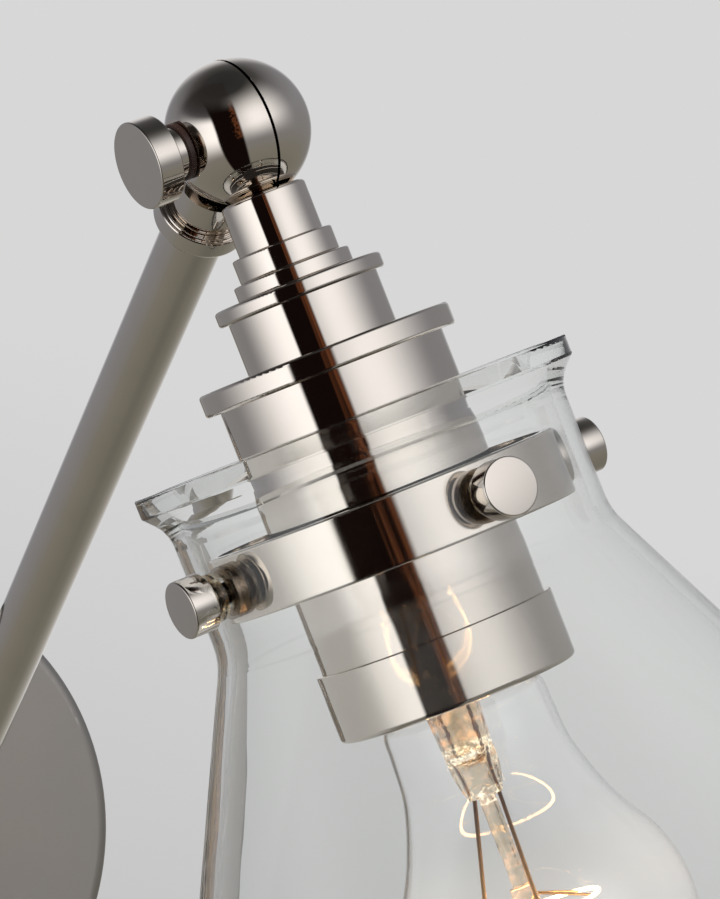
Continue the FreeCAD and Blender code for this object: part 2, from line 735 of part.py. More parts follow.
def thumb_screws():
    """The thumb screws, one solid each."""
    head = GLASS_NECK_R + FACE_GAP + SLEEVE_FLANGE_T + SCREW_HEAD_ROOM
    face = head + SCREW_HEAD_T
    point = GALLERY_R - GALLERY_WALL - SCREW_POINT
    screw = turned((0, point), (SCREW_R, point, SCREW_POINT_EDGE), (SCREW_R, head),
                   (SCREW_HEAD_R, head, SCREW_HEAD_EDGE), (SCREW_HEAD_R, face, SCREW_HEAD_EDGE), (0, face))
    screw = placed(screw, Placement(high(SCREW_LINE), Rotation(Vector(0, 1, 0), 90)))
    return around(screw, SCREWS)


# Lamp bulb

def bulb_solid(shrink):
    """The envelope's outline, closed to the axis, smaller all round by shrink."""
    radius = BULB_R - shrink
    meet = math.radians(BULB_MEET)
    join = flat((radius * math.sin(meet), BULB_CENTRE - radius * math.cos(meet)))
    bottom = high(BULB_CENTRE + radius)
    start = flat((BULB_NECK_R - shrink, COLLAR_END + BULB_NECK_DROP))
    through = [start, flat((BULB_WAIST_R - shrink, COLLAR_END + BULB_WAIST_DROP)),
               flat((BULB_SHOULDER_R - shrink, COLLAR_END + BULB_SHOULDER_DROP)), join]
    onward = Vector(math.cos(meet), 0, math.sin(meet))
    curve = Part.BSplineCurve()
    curve.interpolate(through, InitialTangent=AXIS, FinalTangent=onward)
    round_end = Part.Arc(join, flat((radius, BULB_CENTRE)), bottom)
    edges = [curve.toShape(), round_end.toShape()]
    lines = [bottom, high(SEAL_TOP), flat((BULB_SEAL_R - shrink, SEAL_TOP)),
             flat((BULB_SEAL_R - shrink, CAP_END)), start]
    for a, b in zip(lines, lines[1:]):
        edges.append(Part.LineSegment(a, b).toShape())
    return spin(edges)


def bulb_glass():
    return bulb_solid(0).cut(bulb_solid(BULB_WALL))


def bulb_cap():
    """Screw cap: a skirt with rounded threads that narrows to the insulator."""
    inside = CAP_SKIRT_R - CAP_SKIRT_WALL
    root = CAP_SKIRT_R - CAP_THREAD_DEPTH
    threads = CAP_START + CAP_CONE
    rounding = CAP_PITCH / 5
    corners = [(INSULATOR_R, CAP_START), (root, threads, rounding)]
    for k in range(CAP_THREADS):
        for radius, share in ((root, 0.25), (CAP_SKIRT_R, 0.5), (CAP_SKIRT_R, 0.75), (root, 1.0)):
            corners.append((radius, threads + CAP_PITCH * (k + share), rounding))
    corners += [(CAP_SKIRT_R, CAP_END - CAP_BAND, rounding), (CAP_SKIRT_R, CAP_END), (inside, CAP_END),
                (inside, threads + CAP_SHEET), (INSULATOR_R, CAP_START + CAP_SHEET)]
    return turned(*corners)


def bulb_insulator():
    end = CAP_START + CAP_SHEET
    return turned((0, TIP_BASE), (INSULATOR_FACE_R, TIP_BASE), (INSULATOR_R, CAP_START), (INSULATOR_R, end),
                  (0, end))


def bulb_tip():
    touch = TIP_BASE - TIP_T
    return turned((0, touch), (TIP_FACE_R, touch, TIP_EDGE), (TIP_R, TIP_BASE), (0, TIP_BASE))


def oval(along, across, height):
    """An oval or circle across the axis, as a closed wire."""
    if along > across:
        ring = Part.Ellipse(high(height), along, across)
    else:
        ring = Part.Circle(high(height), AXIS, along)
    return Part.Wire(ring.toShape())


def turned_bulb(shape):
    """Turns and shifts what is inside the bulb, drawn on its axis with the filament's gap towards +Y."""
    return shape.rotate(ORIGIN, AXIS, FILAMENT_TURN - 90).translate(FOOT_SHIFT)


def on_filament(angle, reach):
    """A point at the filament's height, by its reach from the axis and its angle from the gap's middle."""
    turn = math.radians(90 + angle)
    return Vector(reach * math.cos(turn), reach * math.sin(turn), FILAMENT)


def lead_lines():
    """The two lead wires: down the foot, through its press and out to the filament's ends."""
    reach = FILAMENT_SPREAD - FILAMENT_R - LEAD_R - FACE_GAP
    lines = []
    for side in (-1, 1):
        inside = Vector(side * LEAD_SPREAD, 0, 0)
        outside = Vector(side * (PRESS_END_R - 2 * LEAD_R), 0, 0)
        lines.append([inside + high(FOOT_TOP + FOOT_FLARE_T), inside + high(PRESS_TOP),
                      outside + high(PRESS_END + LEAD_R), on_filament(-side * FILAMENT_GAP, reach)])
    return lines


def bulb_mount():
    """Glass foot: a tube sealed to the neck, a flattened press that grips the wires, and a stalk."""
    flare_r = BULB_SEAL_R - BULB_WALL - SEAT - FOOT_SHIFT.Length
    flare_end = FOOT_TOP + FOOT_FLARE_T
    hollow_r = FOOT_TOP_R - FOOT_WALL
    middle = (PRESS_TOP + PRESS_END) / 2
    button = STALK_END - 2 * BUTTON_R
    foot = turned((hollow_r, FOOT_TOP), (flare_r, FOOT_TOP), (flare_r, flare_end),
                  (FOOT_TOP_R, flare_end, FOOT_FLARE_T), (FOOT_R, PRESS_TOP),
                  (FOOT_R - FOOT_WALL, PRESS_TOP))
    press = Part.makeLoft([oval(FOOT_R, FOOT_R, PRESS_TOP), oval(FOOT_R, PRESS_THICK_R, middle),
                           oval(PRESS_END_R, PRESS_THICK_R, PRESS_END)], True)
    stalk = turned((0, middle), (STALK_R, middle), (STALK_R, button), (BUTTON_R, button, BUTTON_R / 2),
                   (BUTTON_R, STALK_END, BUTTON_R / 2), (0, STALK_END))
    mount = foot.fuse(press).fuse(stalk)
    for line in lead_lines():
        mount = mount.cut(wire(LEAD_R + SEAT, line[:3]))
    return turned_bulb(mount)


def bulb_leads():
    """The lead wires, and the hooks that reach from the stalk's button to the filament."""
    wires = []
    for line in lead_lines():
        wires.append(wire(LEAD_R, line))
    button = STALK_END - BUTTON_R
    reach = FILAMENT_SPREAD - FILAMENT_R - HOOK_R - FACE_GAP
    for k in range(FILAMENT_HOLDERS):
        angle = FILAMENT_GAP + FILAMENT_SPAN * (k + 1) / (FILAMENT_HOLDERS + 1)
        tip = on_filament(angle, reach)
        foot = on_filament(angle, BUTTON_R + HOOK_R + FACE_GAP)
        foot.z = button
        wires.append(rod(HOOK_R, foot, tip))
    return turned_bulb(joined(wires))


def bulb_filament():
    """Glowing coil, drawn as one round bar that goes most of the way round the axis."""
    bar = Part.makeTorus(FILAMENT_SPREAD, FILAMENT_R, high(FILAMENT), AXIS, -180, 180, FILAMENT_SPAN)
    return turned_bulb(bar.rotate(ORIGIN, AXIS, 90 + FILAMENT_GAP))


# Assembly

def wall_side():
    ring_large = PLATE_DEPTH
    ring_small = ring_large + RING_LARGE_T
    thread_end = ring_small + RING_SMALL_T + NIPPLE_ENGAGED
    return {
        "mounting_strap": placed(mounting_strap(), OUT_OF_WALL),
        "ground_screw": placed(ground_screw(), OUT_OF_WALL),
        "wall_nipple": placed(nipple(0, thread_end), OUT_OF_WALL),
        "wall_lock_nut": placed(lock_nut(STRAP_T), OUT_OF_WALL),
        "backplate": placed(backplate(), OUT_OF_WALL),
        "wall_ring_large": placed(stepped_ring(RING_LARGE_R, RING_LARGE_T, ring_large), OUT_OF_WALL),
        "wall_ring_small": placed(stepped_ring(RING_SMALL_R, RING_SMALL_T, ring_small), OUT_OF_WALL),
        "wall_swivel_half": placed(knob_half(STEM_END - NIPPLE_ENGAGED - FACE_GAP), TOWARDS_WALL),
    }


def arm_side():
    return {
        "arm_lower_half": placed(arm_half(), UP_THE_ARM),
        "arm_lower_ferrule": placed(ferrule(), UP_THE_ARM),
        "arm_tube": placed(arm_tube(), UP_THE_ARM),
        "arm_upper_ferrule": placed(ferrule(), DOWN_THE_ARM),
        "arm_upper_half": placed(arm_half(), DOWN_THE_ARM),
    }


def clamp(name, centre):
    return {
        name + "_knob": placed(clamp_knob(), sideways(centre)),
        name + "_clamp_washer": placed(clamp_washer(), sideways(centre)),
        name + "_clamp_stud": placed(clamp_stud(), sideways(centre)),
    }


def socket_side():
    nipple_start = STEM_END - NIPPLE_ENGAGED
    shapes = {
        "socket_swivel_half": knob_half(nipple_start - FACE_GAP),
        "socket_ring_small": stepped_ring(RING_SMALL_R, RING_SMALL_T, STEM_END),
        "socket_ring_large": stepped_ring(RING_LARGE_R, RING_LARGE_T, STEM_END + RING_SMALL_T),
        "flanged_cap": flanged_cap(),
        "socket_cup": socket_cup(),
        "bottom_collar": bottom_collar(),
        "socket_nipple": nipple(nipple_start, HOLDER_TOP + NIPPLE_ENGAGED),
        "socket_lock_nut": lock_nut(LID_TOP + LID_TOP_T),
        "lampholder_body": lampholder_body(),
        "lampholder_screws": terminal_screws(),
        "lampholder_shell": screw_shell(),
        "lampholder_contact": centre_contact(),
        "gallery_web": gallery_web(),
        "gallery_ring": gallery_ring(),
        "screw_bosses": screw_bosses(),
        "screw_sleeves": screw_sleeves(),
        "glass_shade": glass_shade(),
        "bulb_glass": bulb_glass(),
        "bulb_cap": bulb_cap(),
        "bulb_insulator": bulb_insulator(),
        "bulb_tip": bulb_tip(),
        "bulb_mount": bulb_mount(),
        "bulb_leads": bulb_leads(),
        "bulb_filament": bulb_filament(),
    }
    for k, screw in enumerate(thumb_screws()):
        shapes["thumb_screw_%d" % (k + 1)] = screw
    return {name: placed(shape, DOWN_THE_SOCKET) for name, shape in shapes.items()}


def main():
    os.makedirs("parts", exist_ok=True)
    nodes = {}
    nodes.update(wall_side())
    nodes.update(arm_side())
    nodes.update(clamp("lower", LOWER_BALL))
    nodes.update(clamp("upper", UPPER_BALL))
    nodes.update(socket_side())
    for name, shape in nodes.items():
        shape.exportStep("parts/%s.step" % name)
        facts = (name, len(shape.Solids), shape.Volume, shape.isValid())
        print("%-20s %d solids, %.1f mm3, valid %s" % facts)
    down = DOWN_THE_SOCKET.Rotation.multVec(AXIS)
    print("lower ball", tuple(LOWER_BALL), "upper ball", tuple(UPPER_BALL), "socket axis", tuple(down))
    print("screw line %.3f, collar end %.3f, glass rim %.3f" % (SCREW_LINE, COLLAR_END, GLASS_RIM))


main()
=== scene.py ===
"""Looks of the library wall light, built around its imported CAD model, in metres."""
import json
import math

import bmesh
import bpy
from mathutils import Matrix, Vector
from mathutils.geometry import interpolate_bezier


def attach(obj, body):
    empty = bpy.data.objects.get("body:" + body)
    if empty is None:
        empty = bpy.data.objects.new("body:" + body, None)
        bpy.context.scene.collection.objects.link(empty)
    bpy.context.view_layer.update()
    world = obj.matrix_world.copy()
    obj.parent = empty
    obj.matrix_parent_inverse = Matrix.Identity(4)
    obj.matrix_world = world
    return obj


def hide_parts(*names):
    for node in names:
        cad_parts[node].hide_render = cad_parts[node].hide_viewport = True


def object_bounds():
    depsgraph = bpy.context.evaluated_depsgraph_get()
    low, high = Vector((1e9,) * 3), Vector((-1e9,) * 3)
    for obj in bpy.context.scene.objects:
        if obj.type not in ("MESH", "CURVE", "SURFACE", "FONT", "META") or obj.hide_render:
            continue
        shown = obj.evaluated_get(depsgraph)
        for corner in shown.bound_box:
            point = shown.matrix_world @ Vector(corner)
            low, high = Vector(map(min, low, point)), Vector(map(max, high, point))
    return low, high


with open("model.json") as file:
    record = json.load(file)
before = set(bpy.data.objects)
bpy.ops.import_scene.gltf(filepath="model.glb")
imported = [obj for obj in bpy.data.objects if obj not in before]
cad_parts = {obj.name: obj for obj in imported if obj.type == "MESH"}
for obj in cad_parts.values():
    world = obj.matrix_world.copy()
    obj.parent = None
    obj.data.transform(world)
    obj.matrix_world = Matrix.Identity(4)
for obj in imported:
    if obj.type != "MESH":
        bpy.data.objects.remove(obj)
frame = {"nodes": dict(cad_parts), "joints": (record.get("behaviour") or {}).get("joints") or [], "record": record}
cad_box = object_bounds()
MM = 0.001

# Camera, fitted to the photograph: directions are about the upper ball
CAMERA_AZIMUTH = math.radians(-28.8)
CAMERA_ELEVATION = math.radians(8.8)
CAMERA_ROLL = math.radians(-16.9)
CAMERA_DISTANCE = 0.808
CAMERA_RIGHT = 0.0225
CAMERA_UP = -0.0585
FOCAL_PIXELS = 4394
PHOTO_LONG_SIDE = 899
SENSOR_MM = 36

# Thumb screws, as in the part's source: distances out from the socket's axis
SCREW_POINT = 30.4 * MM
SCREW_HEAD = 41.1 * MM
SCREW_FACE = 46.3 * MM
SCREW_HEAD_R = 5.45 * MM
SCREW_HEAD_EDGE = 0.4 * MM
THREAD_R = 2.5 * MM
THREAD_DEPTH = 0.45 * MM
THREAD_PITCH = 0.8 * MM
THREAD_SINK = 0.01 * MM         # how far the thread's root lies under the skin of the core
THREAD_FLANK = (0.06, 0.42)     # where a flank starts and ends, in pitches from the middle of the root
THREAD_RUN_IN = 0.06            # share of the length over which the thread rises at the point
THREAD_RUN_OUT = 0.97           # share of the length where it starts to fall at the head
THREAD_SIDES = 40
THREAD_ROWS = 180
POINT_EDGE = 0.4 * MM

# Filament, as in the part's source, with the bar drawn as the wound coil that it is
FILAMENT_DROP = 154.4 * MM      # below the upper ball, down the socket's axis
FILAMENT_SHIFT = Vector((-1.6, -0.85, 0)) * MM      # off that axis
FILAMENT_SPREAD = 13 * MM
FILAMENT_START = math.radians(165.5)
FILAMENT_SPAN = math.radians(305)
FILAMENT_WIRE = 0.11 * MM
FILAMENT_COIL = 0.28 * MM
FILAMENT_TURNS = 190
FILAMENT_POINTS = 2200
FILAMENT_WIRE_SIDES = 5

# Bulb, as in the part's source but with a rounded shoulder and a thinner wall; drops are below the collar
COLLAR_DROP = 112.4 * MM        # below the upper ball, down the socket's axis
BULB_WALL = 0.5 * MM
BULB_R = 28.1 * MM
BULB_CENTRE = 46.5 * MM
BULB_MEET = math.radians(58)    # from the axis, where the shoulder runs into the round end
BULB_SEAL = ((12, -8.5), (12, -1))      # radius and drop in millimetres, as in the neck
BULB_NECK = ((12, -1), (15.4, 1.2), (16, 6.5), (16.7, 14.5), (19.9, 24.2))
BULB_STEPS = 14                 # points on each stretch of the neck, and a third of those on the round end
BULB_SIDES = 128
PRESS_DROPS = (9.5 * MM, 18.5 * MM)     # both ends of the foot's flattened press
PAINTED_GLINT_REACH = 1.6 * MM          # how far the painted glints reach to each side of them
PAINTED_GLOW_REACH = 20 * MM            # how far above and below the filament the painted glow on the bulb's glass reaches

# Studio: bearings to the right of the camera and heights above the horizon, in degrees
STUDIO_AREAS = {
    # The strength of each area, and its edges, which fade from nothing to full between two angles
    "left_box": (1.09, (("bearing", -120, -38), ("bearing", -10, -25), ("height", 37, 23),
                        ("height", -29, 3))),
    "right_box": (0.96, (("bearing", -28, 36), ("bearing", 114, 40), ("height", 68, 20),
                         ("height", -18, 14))),
    "behind": (0.5, (("aside", 153, 182), ("height", 48, 20), ("height", -60, -10))),
    "gloom": (0.75, (("bearing", -135, -105), ("bearing", 16, -8), ("height", 22, 44))),
    "card": (1.0, (("leaning", -35, -30.5), ("bearing", 9.5, 5), ("height", 62, 38), ("aside", 100, 80))),
    "fold": (1.0, (("wavy", -5, 2), ("wavy", 11, 5), ("height", -9, -2))),
    "rear": (1.0, (("aside", 60, 95),)),
}
ROOM_SHADES = ((-90, "#4A4A4A"), (-62, "#7C7A71"), (-35, "#84827A"), (-10, "#8A8A8C"), (8, "#8D8E94"),
               (24, "#838489"), (38, "#6F7074"), (52, "#4C4C4C"), (66, "#363636"), (90, "#303030"))
GLOOM_SHADE = "#2C2A2A"
CARD_SHADE = "#140C0A"
FOLD_SHADE = "#6A3F28"
LEAN_HEIGHTS = (-10, 15)        # between these the card's left edge goes over from upright to leaning
CREASE_SCALE = 16
CREASE_SWAY = 9                 # how far the fold's edges sway to each side
CREASE_LEVELS = (0.32, 0.6)     # noise from which the fold starts to show, and is full
BACKDROP_SHADES = ("#C4C4C4", "#D7D7D7")
BACKDROP_SLANT = (0.7, 0, 1)    # the way in which the backdrop grows lighter
BACKDROP_FADE = (-0.31, -0.15)
SHADE_SURFACES = (3.5, 0.9)     # the third and fourth surface: their middle, and the reach to each side
LEFT_SHARE = 0.9                # of the backdrop, in the left side of the metal inside the shade
RIGHT_SHARE = 0.18              # and in its right side
SHARE_BEARING = 60              # from which, to the left and to the right, these shares hold
FLOOR_HEIGHT = -0.45
FLOOR_R = 1.3
LAMP_HEIGHT = 1.6
LAMP_SIZE = 1.6
LAMP_WATTS = 26


# Helpers

def joint_of(name):
    return next(j for j in frame["joints"] if j["name"] == name)


UPPER_BALL = Vector(joint_of("shade_tilt")["pos_m"])
DOWN = Vector(joint_of("bulb_turn")["axis"])


def colour(code):
    """Linear colour of an sRGB hex code."""
    linear = []
    for k in (1, 3, 5):
        share = int(code[k:k + 2], 16) / 255
        linear.append(share / 12.92 if share <= 0.04045 else ((share + 0.055) / 1.055) ** 2.4)
    return (*linear, 1)


def per_mm(size):
    """Scale of a texture whose features are about this many millimetres wide."""
    return 1 / (size * MM)


def node(tree, kind, inputs=None, **settings):
    """Adds a node, with its settings, and sets or links its inputs."""
    new = tree.nodes.new(kind)
    for name, value in settings.items():
        setattr(new, name, value)
    for socket, value in (inputs or {}).items():
        if isinstance(value, bpy.types.NodeSocket):
            tree.links.new(value, new.inputs[socket])
        else:
            new.inputs[socket].default_value = value
    return new


def new_material(name):
    """A material with one shader, and the place on the piece that its patterns read."""
    material = bpy.data.materials.new(name)
    material.use_nodes = True
    tree = material.node_tree
    shader = tree.nodes["Principled BSDF"]
    place = node(tree, "ShaderNodeTexCoord").outputs["Object"]
    return material, tree, shader, place


def blend_colours(tree, shade, low, high):
    """Mixes two colours by a pattern and gives the result's socket."""
    mix = node(tree, "ShaderNodeMix", {"Factor": shade, 6: colour(low), 7: colour(high)}, data_type="RGBA")
    return mix.outputs[2]


def drop_of(tree, place):
    """How far a place is below the collar's lower edge, down the socket's axis."""
    along = node(tree, "ShaderNodeVectorMath", {0: place, 1: DOWN}, operation="DOT_PRODUCT")
    start = UPPER_BALL.dot(DOWN) + COLLAR_DROP
    drop = node(tree, "ShaderNodeMath", {0: along.outputs["Value"], 1: start}, operation="SUBTRACT")
    return drop.outputs[0]


# Camera and studio

def add_camera():
    back = Vector((math.sin(CAMERA_AZIMUTH) * math.cos(CAMERA_ELEVATION),
                   -math.cos(CAMERA_AZIMUTH) * math.cos(CAMERA_ELEVATION), math.sin(CAMERA_ELEVATION)))
    level_right = Vector((0, 0, 1)).cross(back).normalized()
    level_up = back.cross(level_right)
    right = level_right * math.cos(CAMERA_ROLL) + level_up * math.sin(CAMERA_ROLL)
    up = level_up * math.cos(CAMERA_ROLL) - level_right * math.sin(CAMERA_ROLL)
    data = bpy.data.cameras.new("camera")
    data.sensor_width = SENSOR_MM
    data.lens = FOCAL_PIXELS * SENSOR_MM / PHOTO_LONG_SIDE
    camera = bpy.data.objects.new("camera", data)
    place = UPPER_BALL + back * CAMERA_DISTANCE + right * CAMERA_RIGHT + up * CAMERA_UP
    camera.matrix_world = Matrix.Translation(place) @ Matrix((right, up, back)).transposed().to_4x4()
    bpy.context.scene.collection.objects.link(camera)
    bpy.context.scene.camera = camera


def studio_angles(tree, direction, turned):
    """The angles that the studio's areas read, in degrees, and the noise of the fold's creases."""
    parts = node(tree, "ShaderNodeSeparateXYZ", {"Vector": turned})
    ahead = node(tree, "ShaderNodeMath", {0: parts.outputs["Y"], 1: -1.0}, operation="MULTIPLY")
    turn = node(tree, "ShaderNodeMath", {0: parts.outputs["X"], 1: ahead.outputs[0]}, operation="ARCTAN2")
    bearing = node(tree, "ShaderNodeMath", {0: turn.outputs[0]}, operation="DEGREES").outputs[0]
    aside = node(tree, "ShaderNodeMath", {0: bearing}, operation="ABSOLUTE").outputs[0]
    rise = node(tree, "ShaderNodeMath", {0: parts.outputs["Z"]}, operation="ARCSINE")
    height = node(tree, "ShaderNodeMath", {0: rise.outputs[0]}, operation="DEGREES").outputs[0]

    lean = node(tree, "ShaderNodeMath", {0: parts.outputs["X"]}, operation="ARCSINE")
    sideways = node(tree, "ShaderNodeMath", {0: lean.outputs[0]}, operation="DEGREES")
    above = node(tree, "ShaderNodeMapRange", {"Value": height, "From Min": LEAN_HEIGHTS[0],
                                              "From Max": LEAN_HEIGHTS[1]})
    leaning = node(tree, "ShaderNodeMix", {"Factor": above.outputs["Result"], "A": bearing,
                                           "B": sideways.outputs[0]}).outputs["Result"]

    crease = node(tree, "ShaderNodeTexNoise", {"Vector": direction, "Scale": CREASE_SCALE, "Detail": 3.0})
    sway = node(tree, "ShaderNodeMapRange", {"Value": crease.outputs["Fac"], "To Min": -CREASE_SWAY,
                                             "To Max": CREASE_SWAY})
    wavy = node(tree, "ShaderNodeMath", {0: bearing, 1: sway.outputs["Result"]}, operation="ADD").outputs[0]
    return {"bearing": bearing, "aside": aside, "height": height, "leaning": leaning, "wavy": wavy,
            "crease": crease.outputs["Fac"]}


def area_share(tree, angles, name):
    """How much of an area of the studio a direction sees: its strength times each of its edges."""
    share, edges = STUDIO_AREAS[name]
    for angle, dark, full in edges:
        edge = node(tree, "ShaderNodeMapRange", {"Value": angles[angle], "From Min": dark,
                                                 "From Max": full}, interpolation_type="SMOOTHSTEP")
        step = node(tree, "ShaderNodeMath", {0: share, 1: edge.outputs["Result"]}, operation="MULTIPLY")
        share = step.outputs[0]
    return share


def studio_light(tree, angles):
    """Two soft boxes left and right of a tall dark card with a brown fold, under a dark ceiling."""
    level = node(tree, "ShaderNodeMapRange", {"Value": angles["height"], "From Min": -90.0,
                                              "From Max": 90.0})
    room = node(tree, "ShaderNodeValToRGB", {"Fac": level.outputs["Result"]})
    stops = room.color_ramp.elements
    stops[0].color = colour(ROOM_SHADES[0][1])
    stops[1].color = colour(ROOM_SHADES[-1][1])
    for rise, shade in ROOM_SHADES[1:-1]:
        stop = stops.new((rise + 90) / 180)
        stop.color = colour(shade)
    lit = node(tree, "ShaderNodeMix", {"Factor": area_share(tree, angles, "gloom"),
                                       6: room.outputs["Color"], 7: colour(GLOOM_SHADE)},
               data_type="RGBA").outputs[2]
    boxes = 0.0
    for name in ("left_box", "right_box", "behind"):
        boxes = node(tree, "ShaderNodeMath", {0: boxes, 1: area_share(tree, angles, name)},
                     operation="ADD").outputs[0]
    lit = node(tree, "ShaderNodeMix", {"Factor": 1.0, 6: lit, 7: boxes}, data_type="RGBA",
               blend_type="ADD").outputs[2]

    crease = node(tree, "ShaderNodeMapRange", {"Value": angles["crease"], "From Min": CREASE_LEVELS[0],
                                               "From Max": CREASE_LEVELS[1]})
    fold = node(tree, "ShaderNodeMath", {0: area_share(tree, angles, "fold"), 1: crease.outputs["Result"]},
                operation="MULTIPLY")
    card = blend_colours(tree, fold.outputs[0], CARD_SHADE, FOLD_SHADE)
    return node(tree, "ShaderNodeMix", {"Factor": area_share(tree, angles, "card"), 6: lit, 7: card},
                data_type="RGBA").outputs[2]


def backdrop_share(tree, angles):
    """How much of the plain backdrop is seen in place of the studio.

    Seen straight or through glass it is all backdrop. After turns inside a glass wall that holds for the
    sides and the back only, and the metal inside the shade, which is seen through the glass's third and
    fourth surface, gets a share of it there, larger on the left.
    """
    ray = node(tree, "ShaderNodeLightPath")
    unmirrored = node(tree, "ShaderNodeMath", {0: ray.outputs["Glossy Depth"], 1: 0.5},
                      operation="LESS_THAN")
    in_shade = node(tree, "ShaderNodeMath", {0: ray.outputs["Transmission Depth"], 1: SHADE_SURFACES[0],
                                             2: SHADE_SURFACES[1]}, operation="COMPARE")
    metal_share = node(tree, "ShaderNodeMapRange", {"Value": angles["bearing"], "From Min": -SHARE_BEARING,
                                                    "From Max": SHARE_BEARING, "To Min": LEFT_SHARE,
                                                    "To Max": RIGHT_SHARE})
    share = node(tree, "ShaderNodeMix", {"Factor": in_shade.outputs[0], "A": 1.0,
                                         "B": metal_share.outputs["Result"]})
    at_rear = node(tree, "ShaderNodeMath", {0: area_share(tree, angles, "rear"), 1: share.outputs[0]},
                   operation="MULTIPLY")
    clear = node(tree, "ShaderNodeMath", {0: unmirrored.outputs[0], 1: at_rear.outputs[0]},
                 operation="MAXIMUM")
    through = node(tree, "ShaderNodeMath", {0: ray.outputs["Is Transmission Ray"], 1: clear.outputs[0]},
                   operation="MULTIPLY")
    return node(tree, "ShaderNodeMath", {0: ray.outputs["Is Camera Ray"], 1: through.outputs[0]},
                operation="MAXIMUM").outputs[0]


def add_world():
    """Pale backdrop, and the studio that the polished metal mirrors."""
    world = bpy.data.worlds.new("studio")
    world.use_nodes = True
    tree = world.node_tree
    direction = node(tree, "ShaderNodeTexCoord").outputs["Generated"]
    turned = node(tree, "ShaderNodeVectorRotate", {"Vector": direction, "Angle": -CAMERA_AZIMUTH},
                  rotation_type="Z_AXIS").outputs["Vector"]
    angles = studio_angles(tree, direction, turned)
    slant = node(tree, "ShaderNodeVectorMath", {0: turned, 1: BACKDROP_SLANT}, operation="DOT_PRODUCT")
    fade = node(tree, "ShaderNodeMapRange", {"Value": slant.outputs["Value"], "From Min": BACKDROP_FADE[0],
                                             "From Max": BACKDROP_FADE[1]})
    backdrop = blend_colours(tree, fade.outputs["Result"], *BACKDROP_SHADES)
    shown = node(tree, "ShaderNodeMix", {"Factor": backdrop_share(tree, angles),
                                         6: studio_light(tree, angles), 7: backdrop}, data_type="RGBA")
    tree.links.new(shown.outputs[2], tree.nodes["Background"].inputs["Color"])
    bpy.context.scene.world = world


def add_floor():
    """Pale floor that fades out into the backdrop and hides nothing from below.

    The metal mirrors the studio instead of it.
    """
    mesh = bpy.data.meshes.new("floor")
    shape = bmesh.new()
    bmesh.ops.create_circle(shape, cap_ends=True, radius=FLOOR_R, segments=96)
    shape.to_mesh(mesh)
    shape.free()
    floor = bpy.data.objects.new("floor", mesh)
    floor.location = ((cad_box[0] + cad_box[1]) / 2).xy.to_3d() + Vector((0, 0, FLOOR_HEIGHT))
    material, tree, shader, place = new_material("floor_paper")
    shader.inputs["Base Color"].default_value = colour("#DCDCDC")
    shader.inputs["Roughness"].default_value = 0.8
    reach = node(tree, "ShaderNodeVectorMath", {0: place}, operation="LENGTH")
    fade = node(tree, "ShaderNodeMapRange", {"Value": reach.outputs["Value"], "From Min": FLOOR_R,
                                             "From Max": FLOOR_R / 2}, interpolation_type="SMOOTHSTEP")
    side = node(tree, "ShaderNodeNewGeometry")
    from_above = node(tree, "ShaderNodeMath", {0: fade.outputs["Result"], 1: side.outputs["Backfacing"]},
                      operation="SUBTRACT", use_clamp=True)
    tree.links.new(from_above.outputs[0], shader.inputs["Alpha"])
    mesh.materials.append(material)
    floor.visible_glossy = False
    floor.visible_transmission = False
    bpy.context.scene.collection.objects.link(floor)


def add_lamp():
    """Large overhead lamp for the matt pieces and the floor's shadow; it is not mirrored."""
    data = bpy.data.lights.new("overhead", "AREA")
    data.size = LAMP_SIZE
    data.energy = LAMP_WATTS
    lamp = bpy.data.objects.new("overhead", data)
    lamp.location = (0, (cad_box[0].y + cad_box[1].y) / 2, LAMP_HEIGHT)
    lamp.visible_camera = False
    lamp.visible_glossy = False
    lamp.visible_transmission = False
    bpy.context.scene.collection.objects.link(lamp)


# Materials, one function for each

def buffed_nickel(name, low, high, smoothest, roughest):
    """Nickel plate on brass, turned and buffed: warm mirror with a buffing haze between two roughnesses."""
    material, tree, shader, place = new_material(name)
    haze_and_painted_glow = node(tree, "ShaderNodeTexNoise", {"Vector": place, "Scale": per_mm(16), "Detail": 5.0})
    peel = node(tree, "ShaderNodeTexNoise", {"Vector": place, "Scale": per_mm(7), "Detail": 2.0})
    shade = blend_colours(tree, haze_and_painted_glow.outputs["Fac"], low, high)
    gloss = node(tree, "ShaderNodeMapRange", {"Value": haze_and_painted_glow.outputs["Fac"], "From Min": 0.3,
                                              "From Max": 0.75, "To Min": smoothest,
                                              "To Max": roughest})
    bump = node(tree, "ShaderNodeBump", {"Height": peel.outputs["Fac"], "Strength": 0.08,
                                         "Distance": 0.02 * MM})
    shader.inputs["Metallic"].default_value = 1.0
    tree.links.new(shade, shader.inputs["Base Color"])
    tree.links.new(gloss.outputs["Result"], shader.inputs["Roughness"])
    tree.links.new(bump.outputs["Normal"], shader.inputs["Normal"])
    return material


def shaded_boss_nickel():
    """Nickel plate on the screw bosses, painted a dull dark brown as painted shade and painted reflection of the
    screw heads over them, with fine mottled marks.
    """
    material, tree, shader, place = new_material("boss_nickel_painted_shade")
    marks = node(tree, "ShaderNodeTexNoise", {"Vector": place, "Scale": per_mm(0.9), "Detail": 4.0})
    # Painted shade: the dark brown stands in for the shade and dark reflection under the screw heads.
    shade = blend_colours(tree, marks.outputs["Fac"], "#6E5D50", "#B3A596")
    gloss = node(tree, "ShaderNodeMapRange", {"Value": marks.outputs["Fac"], "To Min": 0.12,
                                              "To Max": 0.32})
    shader.inputs["Metallic"].default_value = 1.0
    tree.links.new(shade, shader.inputs["Base Color"])
    tree.links.new(gloss.outputs["Result"], shader.inputs["Roughness"])
    return material


